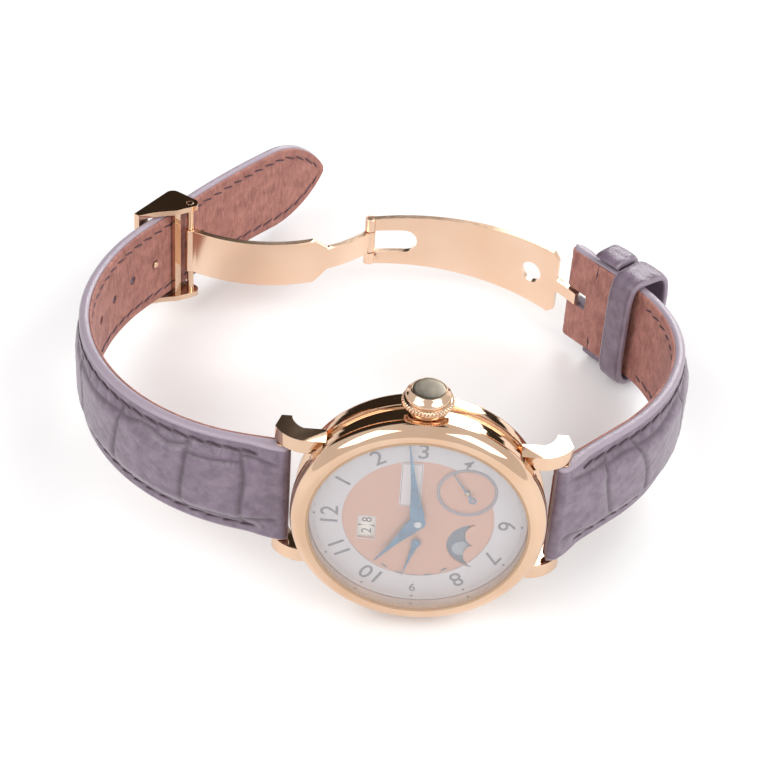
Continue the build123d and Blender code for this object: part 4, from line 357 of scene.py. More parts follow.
def outward_piece(*piece_and_place, **extras):
    """A mesh piece with doubled corners merged and all faces turned outwards."""
    piece = mesh_piece(*piece_and_place, **extras)
    bm = bmesh.new()
    bm.from_mesh(piece.data)
    bmesh.ops.remove_doubles(bm, verts=bm.verts, dist=MERGE_DISTANCE)
    bmesh.ops.recalc_face_normals(bm, faces=bm.faces)
    bm.to_mesh(piece.data)
    bm.free()
    return piece


def sharpen(piece, degrees=32):
    """Draws edges sharper than an angle as edges, and the rest as one smooth surface."""
    piece.data.set_sharp_from_angle(angle=degrees * pi / 180)
    return piece


def grid_faces(rows, columns, close_rows=False, close_columns=False, start=0):
    """Quads of a grid of points stored row by row, closed round either way if asked."""
    r = np.arange(rows if close_rows else rows - 1)
    c = np.arange(columns if close_columns else columns - 1)
    r, c = np.meshgrid(r, c, indexing="ij")
    r2, c2 = (r + 1) % rows, (c + 1) % columns
    corners = [r * columns + c, r * columns + c2, r2 * columns + c2, r2 * columns + c]
    return np.stack(corners, -1).reshape(-1, 4) + start


def tube_faces(rows, columns, start=0):
    """Faces of a tube of closed rings, one ring in each row, with a flat face over both ends."""
    last = start + (rows - 1) * columns
    ends = [list(range(start, start + columns)), list(range(last, last + columns))]
    return grid_faces(rows, columns, False, True, start).tolist() + ends


def full_turn(count):
    """Angles evenly round a circle, the last one short of the first."""
    return np.linspace(0, 2 * pi, count, endpoint=False)


def step(value, low, high):
    """A smooth rise from nought to one between two values."""
    t = np.clip((value - low) / (high - low), 0, 1)
    return t * t * (3 - 2 * t)


def trough(gap, width):
    """One in the middle of a groove, falling off as a bell curve of the gap over the width."""
    return np.exp(-(gap / width) ** 2)


def signed_power(value, power):
    """A power of the value's size with the value's sign, which squares off a circle."""
    return np.sign(value) * np.abs(value) ** power


def crowded(count, share):
    """Shares from minus one to one that crowd towards both ends: a sine blended with even steps."""
    even = np.linspace(-1, 1, count)
    return np.sin(even * pi / 2) * share + even * (1 - share)


def arc_profile(centre, radii, start, end, count):
    """Points of an ellipse quarter between two angles in degrees."""
    t = np.radians(np.linspace(start, end, count))
    return np.stack([centre[0] + radii[0] * np.cos(t), centre[1] - radii[1] * np.sin(t)], -1)


def turned(profile, angle, ripple=None):
    """A profile of radius and level turned through the angles: radius times cosine, radius times sine and
    level. The ripple, a function of angle and level, is added to the radius."""
    angle = angle[:, None]
    radius = np.repeat(profile[None, :, 0], len(angle), 0)
    level = np.repeat(profile[None, :, 1], len(angle), 0)
    if ripple:
        radius = radius + ripple(angle, level)
    return radius * np.cos(angle), radius * np.sin(angle), level


def lathe(name, profile, material, body, replaced, sides):
    """A profile of radius and depth turned once round the case axis."""
    points = np.stack(turned(profile, full_turn(sides)), -1)
    closed = np.allclose(profile[0], profile[-1])
    count = len(profile) - closed
    faces = grid_faces(sides, count, True, closed)
    return sharpen(outward_piece(name, points[:, :count].reshape(-1, 3), faces, material, body, replaced))


def rounded_copy(node, material, width):
    """A copy of a CAD node with its corners merged and its edges rounded, which stands for the node."""
    name = node + "_finished"
    bm = bmesh.new()
    bm.from_mesh(NODES[node].data)
    bmesh.ops.remove_doubles(bm, verts=bm.verts, dist=CAD_MERGE_DISTANCE)
    bmesh.ops.dissolve_limit(bm, angle_limit=FLAT_ANGLE, verts=bm.verts, edges=bm.edges, delimit={"NORMAL"})
    mesh = bpy.data.meshes.new(name)
    bm.to_mesh(mesh)
    bm.free()
    mesh.materials.append(material)
    mesh.polygons.foreach_set("use_smooth", np.full(len(mesh.polygons), True))
    piece = add_piece(name, mesh, BODY_OF[node], (node,))
    bevel = piece.modifiers.new("rounded_edges", "BEVEL")
    bevel.width = width * MM
    bevel.segments = 2
    bevel.limit_method = "ANGLE"
    bevel.angle_limit = BEVEL_FROM_ANGLE
    bevel.harden_normals = True
    bevel.use_clamp_overlap = True
    return sharpen(piece, 50)


# Case: bezel, domed crystal and the ring of the display back, each a profile of radius and depth

BEZEL_BORE = 17.1
BEZEL_FOOT = 0.15
BEZEL_FOOT_RADIUS = 19.85
BEZEL_ROUND_AT = (17.95, 0.0)
BEZEL_ROUND = (2.05, 2.32)
BEZEL_TOP = -2.33
CRYSTAL_RADIUS = 17.0
CRYSTAL_REAR = -1.4
CRYSTAL_EDGE = -2.2
CRYSTAL_DOME = 0.4
CRYSTAL_GROOVE = 17.4
BEZEL_PROFILE = np.vstack([
    [[BEZEL_BORE, BEZEL_FOOT], [BEZEL_FOOT_RADIUS, BEZEL_FOOT]],
    arc_profile(BEZEL_ROUND_AT, BEZEL_ROUND, 0, 90, 28),
    [[17.6, BEZEL_TOP], [17.2, -2.31], [17.03, -2.27], [17.03, CRYSTAL_EDGE], [CRYSTAL_GROOVE, -2.18]],
    [[CRYSTAL_GROOVE, CRYSTAL_REAR], [BEZEL_BORE, CRYSTAL_REAR], [BEZEL_BORE, BEZEL_FOOT]],
])
CRYSTAL_PROFILE = np.vstack([
    [[0.0, CRYSTAL_REAR], [CRYSTAL_RADIUS, CRYSTAL_REAR], [CRYSTAL_RADIUS, CRYSTAL_EDGE]],
    arc_profile((0.0, CRYSTAL_EDGE), (CRYSTAL_RADIUS, CRYSTAL_DOME), 8, 90, 24),
])
BACK_BORE = 15.2
BACK_SEAT = 15.82
BACK_SEAT_LEVEL = 6.95
BACK_RADIUS = 19.3
BACK_FRONT = 5.9
BACK_REAR = 7.83
BACK_ROUND = (0.6, 0.73)
BACK_ROUND_AT = (BACK_RADIUS - BACK_ROUND[0], BACK_REAR - BACK_ROUND[1])
BACK_PROFILE = np.vstack([
    [[BACK_BORE, BACK_FRONT], [BACK_RADIUS, BACK_FRONT]],
    arc_profile(BACK_ROUND_AT, (BACK_ROUND[0], -BACK_ROUND[1]), 0, 90, 12),
    [[BACK_SEAT, BACK_REAR], [BACK_SEAT, BACK_SEAT_LEVEL]],
    [[BACK_BORE, BACK_SEAT_LEVEL], [BACK_BORE, BACK_FRONT]],
])
lathe("bezel_polished", BEZEL_PROFILE, ROSE_GOLD, "watch_case", ("bezel",), 360)
lathe("case_back_polished", BACK_PROFILE, ROSE_GOLD, "watch_case", ("case_back",), 360)
lathe("crystal_domed", CRYSTAL_PROFILE, SAPPHIRE, "watch_case", ("front_crystal",), 200)

# Pieces that keep their solid's shape, with the width that their edges are rounded over
ROUNDED_EDGES = (
    (ROSE_GOLD, {
        "mid_case": 0.22, "crown_tube": 0.05, "buckle_frame": 0.14, "buckle_stud": 0.2, "buckle_pin": 0.1,
        "clasp_hinge_pin": 0.1, "lug_spring_bars": 0.08, "strap_end_bar": 0.1,
    }),
    (ROSE_GOLD_SATIN, {"clasp_inner_blade": 0.16, "clasp_outer_blade": 0.16}),
    (BLUED_STEEL, {"seconds_hand": 0.05}),
)
for material, widths in ROUNDED_EDGES:
    for node, width in widths.items():
        rounded_copy(node, material, width)

# Polished side of the case between the lugs, a thin skin that mirrors without facets: the bezel's flange,
# a channel with rounded corners and the rear rim

FLANGE_RADIUS = 20.02
FLANGE_FRONT = 0.2
FLANGE_REAR = 1.25
CHANNEL_RADIUS = 18.92
CHANNEL_REAR = 4.3
RIM_RADIUS = 19.62
RIM_FRONT = 4.9
RIM_REAR = 5.85
BAND_PROFILE = np.array([
    [FLANGE_RADIUS, FLANGE_FRONT], [FLANGE_RADIUS, FLANGE_REAR], [19.7, FLANGE_REAR + 0.12],
    [18.95, FLANGE_REAR + 0.2], [CHANNEL_RADIUS, FLANGE_REAR + 0.5], [CHANNEL_RADIUS, CHANNEL_REAR],
    [18.95, 4.6], [19.3, 4.72], [19.6, 4.78], [RIM_RADIUS, RIM_FRONT], [RIM_RADIUS, RIM_REAR],
])
BAND_THICKNESS = 0.05
BAND_ROWS = 181
# Middle and half reach of each strip, in degrees from six o'clock
BAND_STRIPS = {"three": (-90, 50.3), "nine": (90, 50.3), "six": (0, 30.5), "twelve": (180, 30.5)}


def band_strip(name, middle, reach):
    """The band's profile turned through an angle, with a back a little inside it."""
    angle = np.radians(np.linspace(middle - reach, middle + reach, BAND_ROWS))
    profile = np.vstack([BAND_PROFILE, BAND_PROFILE[::-1] - [BAND_THICKNESS, 0.0]])
    points = np.stack(turned(profile, angle), -1).reshape(-1, 3)
    faces = tube_faces(BAND_ROWS, len(profile))
    sharpen(outward_piece("band_polish_" + name, points, faces, ROSE_GOLD, "watch_case"), 25)


for name, (middle, reach) in BAND_STRIPS.items():
    band_strip(name, middle, reach)


# Crown: slanted rope knurl, groove, rounded step and a bare inlaid end, as profiles of radius and distance
# from the case's middle

CROWN_LEVEL = 2.9
CROWN_FOOT = 20.2
CROWN_END = 23.7
INLAY_RADIUS = 2.55
INLAY_BACK = 23.66
KNURL_FROM, KNURL_TO = 21.02, 22.02
KNURL_TEETH = 44
KNURL_SLANT = 2.6
KNURL_DEPTH = 0.3
KNURL_SINK = 0.16
KNURL_RADIUS = 3.66
KNURL_BELLY = 0.27


def crown_lathe(name, profile, material, sides, ripple=None, replaced=()):
    """A profile of radius and distance from the case's middle turned round the crown's axis."""
    along, around, reach = turned(profile, full_turn(sides), ripple)
    points = np.stack([along, -reach, CROWN_LEVEL + around], -1).reshape(-1, 3)
    faces = grid_faces(sides, len(profile), True)
    return outward_piece(name, points, faces, material, "crown_and_stem", replaced)


def knurl_share(reach):
    """Nought to one across the knurl's width."""
    return (reach - KNURL_FROM) / (KNURL_TO - KNURL_FROM)


def rope(angle, reach):
    """Slanted ridges, each half a sine wave, whose depth follows the root of a half sine over the width."""
    share = np.clip(knurl_share(reach), 0, 1)
    ridge = KNURL_DEPTH * np.abs(np.sin((angle * KNURL_TEETH - share * KNURL_SLANT) / 2)) - KNURL_SINK
    return ridge * np.sin(pi * share) ** 0.5


knurl = np.linspace(KNURL_FROM, KNURL_TO, 13)
belly = np.sin(pi * knurl_share(knurl)) ** 0.6
CROWN_PROFILE = np.vstack([
    [[1.3, CROWN_FOOT], [3.3, CROWN_FOOT], [3.4, 20.28], [3.4, 20.95], [3.62, 21.0]],
    np.stack([KNURL_RADIUS + KNURL_BELLY * belly, knurl], -1),
    [[3.6, 22.06], [3.25, 22.12], [3.2, 22.2], [3.25, 22.3], [3.45, 22.34], [3.54, 22.45], [3.55, 22.65]],
    [[3.5, 22.85], [3.35, 23.02], [3.15, 23.2], [2.98, 23.4], [2.82, 23.62], [2.72, 23.74], [2.64, 23.77]],
    [[2.56, CROWN_END], [0.0, CROWN_END]],
])
INLAY_PROFILE = np.array([
    [0.0, 23.84], [1.3, 23.83], [2.1, 23.8], [2.46, 23.76], [INLAY_RADIUS, 23.72], [INLAY_RADIUS, INLAY_BACK],
    [0.0, INLAY_BACK],
])
sharpen(crown_lathe("crown_rope_knurled", CROWN_PROFILE, ROSE_GOLD, 624, rope, ("crown",)), 60)
crown_lathe("crown_inlay", INLAY_PROFILE, CROWN_INLAY, 96)


# Dial prints: numerals, dots, marks and rings, each a thin raised layer of ink

INK_THICKNESS = 0.03
CAPITAL_SHARE = 0.72
STROKE_GAIN = 0.02
# Levels just proud of what each print lies on
CHAPTER_FACE = -0.004
DIAL_FACE = 0.196
WINDOW_FACE = 0.19
SECONDS_FACE = -0.084
DISC_FACE = 0.745
CARTOUCHE_FACE = 0.046


def text_points(text, height):
    """Flat outline of a text as corners and faces, centred, its capitals a given height."""
    curve = bpy.data.curves.new("lettering", "FONT")
    curve.body = text
    curve.size = height / CAPITAL_SHARE
    curve.resolution_u = 5
    curve.offset = STROKE_GAIN
    curve.align_x = "CENTER"
    holder = bpy.data.objects.new("lettering", curve)
    mesh = bpy.data.meshes.new_from_object(holder)
    points = np.empty(len(mesh.vertices) * 3, np.float32)
    mesh.vertices.foreach_get("co", points)
    faces = [list(p.vertices) for p in mesh.polygons]
    bpy.data.objects.remove(holder)
    bpy.data.curves.remove(curve)
    bpy.data.meshes.remove(mesh)
    points = points.reshape(-1, 3)[:, :2].astype(float)
    points -= (points.min(0) + points.max(0)) / 2
    return points, faces


def circle(sides):
    """Corners of a regular polygon on the unit circle."""
    t = full_turn(sides)
    return np.stack([np.cos(t), np.sin(t)], -1)


def rotation(turn):
    """Matrix that turns rows of right and up anticlockwise."""
    c, s = np.cos(turn), np.sin(turn)
    return np.array([[c, s], [-s, c]])


class Print:
    """Collects flat shapes in dial coordinates, right towards three o'clock and up towards twelve, and
    makes one inked mesh of them."""

    def __init__(self, depth):
        self.depth, self.points, self.faces, self.count = depth, [], [], 0

    def shape(self, flat, faces):
        """Adds corners and the faces between them."""
        self.points.append(flat)
        self.faces += [[self.count + i for i in f] for f in faces]
        self.count += len(flat)

    def text(self, text, height, centre, turn, widen=1.0):
        """Adds plain figures round a centre, turned anticlockwise."""
        flat, faces = text_points(text, height)
        self.shape((flat * [widen, 1]) @ rotation(turn) + centre, faces)

    def dot(self, radius, centre, sides=14):
        """Adds a round dot."""
        self.shape(circle(sides) * radius + centre, [list(range(sides))])

    def bar(self, length, width, centre, turn=0.0):
        """Adds a straight bar."""
        corners = np.array([[-1, -1], [1, -1], [1, 1], [-1, 1]]) * [length / 2, width / 2]
        self.shape(corners @ rotation(turn) + centre, [[0, 1, 2, 3]])

    def border(self, centre, reach, lengths, line):
        """Four bars round a centre: how far out they stand right and up, and how long they are."""
        for up in (-1, 1):
            self.bar(lengths[0], line, centre + [0, up * reach[1]])
        for right in (-1, 1):
            self.bar(line, lengths[1], centre + [right * reach[0], 0])

    def hoop(self, outer, inner, centre, sides=96):
        """Adds a flat ring between two radii."""
        flat = np.vstack([circle(sides) * outer, circle(sides) * inner]) + centre
        self.shape(flat, grid_faces(2, sides, False, True).tolist())

    def make(self, name, material, body):
        """One mesh of all shapes, faced away from the dial and thickened outwards."""
        right, up = np.vstack(self.points).T
        points = np.stack([-up, -right, np.full(right.shape, self.depth)], -1)
        piece = mesh_piece(name, points, self.faces, material, body, smooth=False)
        bm = bmesh.new()
        bm.from_mesh(piece.data)
        bmesh.ops.recalc_face_normals(bm, faces=bm.faces)
        outward = Vector(-Z_AXIS)
        for face in bm.faces:
            if face.normal.dot(outward) < 0:
                face.normal_flip()
        bm.to_mesh(piece.data)
        bm.free()
        solid = piece.modifiers.new("ink_depth", "SOLIDIFY")
        solid.thickness = INK_THICKNESS * MM
        solid.offset = 1
        return piece


def clock(degrees, radius):
    """Dial coordinates of an angle clockwise from twelve."""
    a = np.radians(degrees)
    return np.array([radius * np.sin(a), radius * np.cos(a)])


HOUR_DEGREES = 30
MINUTE_DEGREES = 6
LARGE_HOURS = (12, 1, 2, 3, 6, 7, 8, 10, 11)
LARGE_HEIGHT = 2.85
LARGE_WIDEN = 1.05
NUMERAL_RADIUS = 13.85
# The two small numerals: hour, height and radius
SMALL_NUMERALS = ((9, 1.6, 14.35), (4, 1.9, NUMERAL_RADIUS))
TRACK_RADIUS = 16.2
HOUR_DOT, MINUTE_DOT, QUARTER_DOT = 0.2, 0.12, 0.06

numerals = Print(CHAPTER_FACE)
for hour in LARGE_HOURS:
    angle = hour * HOUR_DEGREES
    numerals.text(str(hour), LARGE_HEIGHT, clock(angle, NUMERAL_RADIUS), -np.radians(angle), LARGE_WIDEN)
for hour, height, radius in SMALL_NUMERALS:
    angle = hour * HOUR_DEGREES
    numerals.text(str(hour), height, clock(angle, radius), -np.radians(angle))
for hour in range(12):
    numerals.dot(HOUR_DOT, clock(hour * HOUR_DEGREES, TRACK_RADIUS))
numerals.make("dial_numerals", PRINT_GREY, "watch_case")

track = Print(CHAPTER_FACE)
for minute in range(60):
    if minute % 5:
        track.dot(MINUTE_DOT, clock(minute * MINUTE_DEGREES, TRACK_RADIUS), 10)
for quarter in range(240):
    if quarter % 4:
        track.dot(QUARTER_DOT, clock(quarter * MINUTE_DEGREES / 4, TRACK_RADIUS), 6)
track.make("minute_track", PRINT_SOFT, "watch_case")

# Power reserve: five short bars on an arc round the reserve hand
RESERVE_CENTRE = np.array([-4.65, 0.0])
RESERVE_RADIUS = 7.3
RESERVE_BAR = (1.15, 0.34)
RESERVE_MIDDLE = 270
RESERVE_MARKS = (-40, -18, 0, 18, 40)
reserve_scale = Print(DIAL_FACE)
for mark in RESERVE_MARKS:
    angle = RESERVE_MIDDLE + mark
    reserve_scale.bar(*RESERVE_BAR, RESERVE_CENTRE + clock(angle, RESERVE_RADIUS), -np.radians(angle))
reserve_scale.make("reserve_scale", PRINT_GREY, "watch_case")

# Small seconds: two fine rings with sixty marks between them, every fifth one bolder
SECONDS_CENTRE = np.array([6.25, -7.2])
SECONDS_RINGS = ((4.66, 4.58), (4.36, 4.28))
SECONDS_MARK_RADIUS = 4.47
SECONDS_MARK_LENGTH = 0.26
FINE_MARK, BOLD_MARK = 0.05, 0.09
seconds_track = Print(SECONDS_FACE)
for outer, inner in SECONDS_RINGS:
    seconds_track.hoop(outer, inner, SECONDS_CENTRE)
for second in range(60):
    angle = second * MINUTE_DEGREES
    width = FINE_MARK if second % 5 else BOLD_MARK
    place = SECONDS_CENTRE + clock(angle, SECONDS_MARK_RADIUS)
    seconds_track.bar(width, SECONDS_MARK_LENGTH, place, -np.radians(angle))
seconds_track.make("seconds_track", PRINT_GREY, "watch_case")

# Date window's frame
DATE_CENTRE = np.array([-2.47, 7.93])
WINDOW_REACH = (2.36, 1.36)
WINDOW_BARS = (4.9, 2.9)
WINDOW_LINE = 0.16
window = Print(WINDOW_FACE)
window.border(DATE_CENTRE, WINDOW_REACH, WINDOW_BARS, WINDOW_LINE)
window.make("date_window_frame", CHAPTER_SILVER, "watch_case")


def node_middle(node):
    """Dial coordinates of the middle of a CAD node's box."""
    points = node_points(node)
    middle = in_case((points.min(0) + points.max(0)) / 2)
    return np.array([-middle[1], -middle[0]])


# Digits round each date disc: radius, digits in turn from the window, and the window's side of the disc
DIGIT_HEIGHT = 1.6
DATE_DISCS = {"date_units_disc": (4.2, "8901234567", -1), "date_tens_disc": (2.0, "2301", 1)}
for node, (radius, digits, side) in DATE_DISCS.items():
    disc_print = Print(DISC_FACE)
    for i, digit in enumerate(digits):
        turn = 2 * pi * i / len(digits)
        spot = np.array([side * radius, 0]) @ rotation(turn)
        disc_print.text(digit, DIGIT_HEIGHT, node_middle(node) + spot, turn)
    disc_print.make(node + "_digits", PRINT_GREY, BODY_OF[node])

# Moon disc: two pale moons across from each other, one of them in the opening, and small stars
MOON_CENTRE = node_middle("moon_disc")
MOON_OPENING = np.array([-6.2, -6.6])
MOON_RADIUS = 1.4
MOON_REACH = 2.8
STAR_COUNT = 26
STAR_RADIUS = 0.09
STAR_REACH = (0.8, 4.7)
STAR_CLEAR_OF_MOON = 2.1
moons = Print(DISC_FACE)
to_opening = MOON_OPENING - MOON_CENTRE
toward = to_opening / np.hypot(*to_opening)
for side in (-1, 1):
    moons.dot(MOON_RADIUS, MOON_CENTRE + side * toward * MOON_REACH, 48)
for turn, reach in zip(rng.uniform(0, 2 * pi, STAR_COUNT), rng.uniform(*STAR_REACH, STAR_COUNT)):
    spot = np.array([np.cos(turn), np.sin(turn)]) * reach
    if min(np.hypot(*(spot - side * toward * MOON_REACH)) for side in (-1, 1)) > STAR_CLEAR_OF_MOON:
        moons.dot(STAR_RADIUS, MOON_CENTRE + spot, 6)
moons.make("moons_and_stars", MOON_PALE, "moon_disc")

# Blank cartouche's border
CARTOUCHE_CENTRE = np.array([7.0, 1.5])
CARTOUCHE_REACH = (4.15, 1.5)
CARTOUCHE_BARS = (8.3, 3.1)
CARTOUCHE_LINE = 0.1
cartouche = Print(CARTOUCHE_FACE)
cartouche.border(CARTOUCHE_CENTRE, CARTOUCHE_REACH, CARTOUCHE_BARS, CARTOUCHE_LINE)
cartouche.make("cartouche_border", PRINT_SOFT, "watch_case")


# Hands: one club from the hub to a long point

HAND_TIP_HALF = 0.06
HAND_UPPER_LAYER = 0.2
# Least square of the hub's half width, so that its root is never of a negative number
HAND_LEAST_SQUARE = 1e-4
TAPER_STRAIGHT = 0.6
TAPER_CURVED = 0.4
# The hub's first ring stands a little inside its round, so that it keeps a width
HUB_REACH = 0.999
HUB_ROWS, CLUB_ROWS, TAPER_ROWS = 14, 8, 50
# A hand's section as a ring, over the crest and back under it: shares of the half width, and depths
HAND_ACROSS = np.array([-1, -0.96, -0.8, -0.5, 0, 0.5, 0.8, 0.96, 1, 1, 0.5, -0.5, -1])
HAND_DROP = np.array([0.06, 0.03, 0.012, 0.004, 0, 0.004, 0.012, 0.03, 0.06, 0.15, 0.15, 0.15, 0.15])
# Each hand's pivot in dial coordinates, radius of its hub, widest half width, and how far it widens
HANDS = {
    "minute_hand": (np.zeros(2), 1.15, 1.1, 2.3),
    "hour_hand": (np.zeros(2), 1.2, 1.12, 2.2),
    "reserve_hand": (RESERVE_CENTRE, 0.74, 0.46, 1.1),
}


def hand(node, centre, hub, widest, full_until):
    """A hand from its pivot to its tip. Along it the half width is a half-round hub, then a smooth rise to
    the widest place, then a taper that is six parts straight and four parts fourth power. Across it the
    section is a low crest with rounded edges over a flat back."""
    pivot = -centre[::-1]
    corners = in_case(node_points(node))
    crest = corners[:, 2].min()
    upper = corners[np.abs(corners[:, 2] - crest) < HAND_UPPER_LAYER, :2] - pivot
    tip = upper[np.argmax(np.hypot(*upper.T))]
    reach = np.hypot(*tip)
    heading = tip / reach
    sideways = np.array([-heading[1], heading[0]])
    t = np.concatenate([
        -hub * np.cos(np.linspace(0, pi / 2, HUB_ROWS))[:-1] * HUB_REACH,
        np.linspace(0, full_until, CLUB_ROWS)[:-1],
        np.linspace(full_until, reach, TAPER_ROWS),
    ])
    left = 1 - np.clip((t - full_until) / (reach - full_until), 0, 1)
    club = hub + (widest - hub) * step(t, 0, full_until) - HAND_TIP_HALF
    taper = HAND_TIP_HALF + club * (TAPER_STRAIGHT * left + TAPER_CURVED * left ** 4)
    half = np.where(t < 0, np.sqrt(np.maximum(hub ** 2 - t ** 2, HAND_LEAST_SQUARE)), taper)
    ahead, across = np.meshgrid(t, HAND_ACROSS, indexing="ij")
    across = across * half[:, None]
    xy = pivot + ahead[..., None] * heading + across[..., None] * sideways
    depth = crest + np.broadcast_to(HAND_DROP, across.shape)
    points = np.concatenate([xy, depth[..., None]], -1).reshape(-1, 3)
    faces = tube_faces(*across.shape)
    sharpen(outward_piece(node + "_blade", points, faces, BLUED_STEEL, BODY_OF[node], (node,)), 40)


for node, sizes in HANDS.items():
    hand(node, *sizes)

# Domed cap over the hands
CAP_RADIUS = 0.62
CAP_EDGE = -1.2
CAP_DOME = 0.16
CAP_REAR = -1.0
CAP_PROFILE = np.vstack([
    arc_profile((0.0, CAP_EDGE), (CAP_RADIUS, CAP_DOME), 90, 0, 10),
    [[CAP_RADIUS, CAP_REAR], [0.0, CAP_REAR]],
])
lathe("hand_cap", CAP_PROFILE, STEEL, "minutes", (), 48)


# Strap halves, which follow a path of straight runs and arcs in the plane between the lugs. Side 1 is the
# long half at twelve o'clock, side -1 the short half at six.

LUG_BAR = (21.8, 4.6)
BAR_TO_LINING = 1.5
# Heading at the start in degrees, then each run: a length, or an arc's radius, and the turn in degrees
STRAP_RUNS = {
    1: (172.0, ((5.6, 0), (34.0, -85.0), (39.0, -30.0), (13.2, 0), (150.0, -13.0))),
    -1: (45.5, ((14.3, 0), (35.0, 31.7), (23.5, 57.2), (12.5, 0))),
}
LUG_HALF_WIDTH = 9.7
LONG_NARROWING, LONG_NARROWS_UNTIL = 1.2, 62.0
SHORT_NARROWING = 0.3
TAIL = 13.0
TAIL_POWER = 0.75
PAD_RISE, PAD_RISES_UNTIL, PAD_FALLS_FROM = 3.0, 7.0, 17.0
ROLL_OPEN = 0.2
# Thickness in the middle of the thin part, and where along the half it is reached
THIN_PART = {1: (2.45, 62.0), -1: (3.0, 52.0)}
EDGE_HEIGHT = 2.2
# Extra thickness at a bar, kept and then lost between two distances from the end
BAR_END_EXTRA = 0.72
LUG_END = (0.5, 6.5)
CLASP_END = (6.0, 0.5)
PAD_FROM_RIM, PAD_TO_RIM = 1.6, 5.4
STITCH_INSET = 2.1


def runs(side):
    """Heading at the start and each run's length and turn in radians."""
    heading, rows = STRAP_RUNS[side]
    rows = [(a, 0.0) if b == 0 else (a * abs(np.radians(b)), np.radians(b)) for a, b in rows]
    return np.radians(heading), rows


STRAP_LENGTH = {side: sum(length for length, turn in runs(side)[1]) for side in (1, -1)}


def walk(side, distance):
    """Lining face points x and z and headings, at distances from the lug bar."""
    heading, rows = runs(side)
    distance = np.asarray(distance, float)
    out = heading + side * pi / 2
    x = np.full(distance.shape, -side * LUG_BAR[0] - BAR_TO_LINING * np.cos(out))
    z = np.full(distance.shape, LUG_BAR[1] - BAR_TO_LINING * np.sin(out))
    x = x + np.minimum(distance, 0) * np.cos(heading)
    z = z + np.minimum(distance, 0) * np.sin(heading)
    angle = np.full(distance.shape, heading)
    start = 0.0
    for length, turn in rows:
        part = np.clip(distance - start, 0, length)
        if turn:
            radius = length / turn
            x = x + radius * (np.sin(angle + turn * part / length) - np.sin(angle))
            z = z - radius * (np.cos(angle + turn * part / length) - np.cos(angle))
        else:
            x, z = x + part * np.cos(angle), z + part * np.sin(angle)
        angle = angle + turn * part / length
        start += length
    past = np.maximum(distance - start, 0)
    return x + past * np.cos(angle), z + past * np.sin(angle), angle


def on_strap(side, along, across, out):
    """Points given along the strap, across it and outwards from the lining's face."""
    x, z, angle = walk(side, along)
    across = np.broadcast_to(across, x.shape)
    return np.stack([x - side * np.sin(angle) * out, across, z + side * np.cos(angle) * out], -1)


def half_width(side, along):
    """Half the strap's width: tapered, and drawn in to the tail's point by one minus a square, to a power."""
    along = np.clip(along, 0, None)
    if side < 0:
        return LUG_HALF_WIDTH - SHORT_NARROWING * along / STRAP_LENGTH[-1]
    width = LUG_HALF_WIDTH - LONG_NARROWING * np.minimum(along / LONG_NARROWS_UNTIL, 1)
    into = np.clip((along - (STRAP_LENGTH[1] - TAIL)) / TAIL, 0, 1)
    return width * (1 - into ** 2) ** TAIL_POWER


def crown_height(side, along):
    """Thickness in the middle: padded behind the lugs by one more millimetre, thin towards the end."""
    thin, thin_at = THIN_PART[side]
    rise = PAD_RISE + np.clip(along / PAD_RISES_UNTIL, 0, 1)
    fall = np.clip((along - PAD_FALLS_FROM) / (thin_at - PAD_FALLS_FROM), 0, 1)
    return rise + (thin - PAD_RISE - 1) * fall


def edge_height(side, along):
    """Thickness at the rims: thin, but thick enough to hold the bars at the ends."""
    thick = 1 - step(along, *LUG_END)
    if side < 0:
        thick = np.maximum(thick, step(along, *(STRAP_LENGTH[-1] - end for end in CLASP_END)))
    return EDGE_HEIGHT + BAR_END_EXTRA * thick


# Scales, drawn at random for each half: lengths of the large tiles, how far out the small ones begin and
# their lengths, the share of tiles that are split, and depth and width of the grooves between scales
SCALE_SEEDS = {1: 11, -1: 12}
TILE_LENGTHS = (8.5, 13.5)
TILE_ROWS = 16
FIRST_TILE_BACK = 3.0
FLANK_FROM = (5.2, 6.6)
SMALL_LENGTHS = (2.6, 3.6)
SPLIT_SHARE = 0.4
SPLIT_WITHIN = 2.5
ROW_GROOVE, FLANK_GROOVE, SMALL_GROOVE, SPLIT_GROOVE = (1, 0.42), (0.85, 0.38), (0.5, 0.3), (0.6, 0.35)
# How far the grooves waver, in rows, flanks, small scales and splits, and how quickly rows and flanks do
ROW_WOBBLE, FLANK_WOBBLE, SMALL_WOBBLE, SPLIT_WOBBLE = 0.28, 0.35, 0.5, 0.25
ROW_RATES, FLANK_RATES = (0.2, 0.7), (0.3, 0.8)
ROW_BEND, ROW_LEAN = 0.03, 0.16


def groove_at(gap, depth_and_width):
    """A groove's depth at a distance from its middle."""
    depth, width = depth_and_width
    return depth * trough(gap, width)


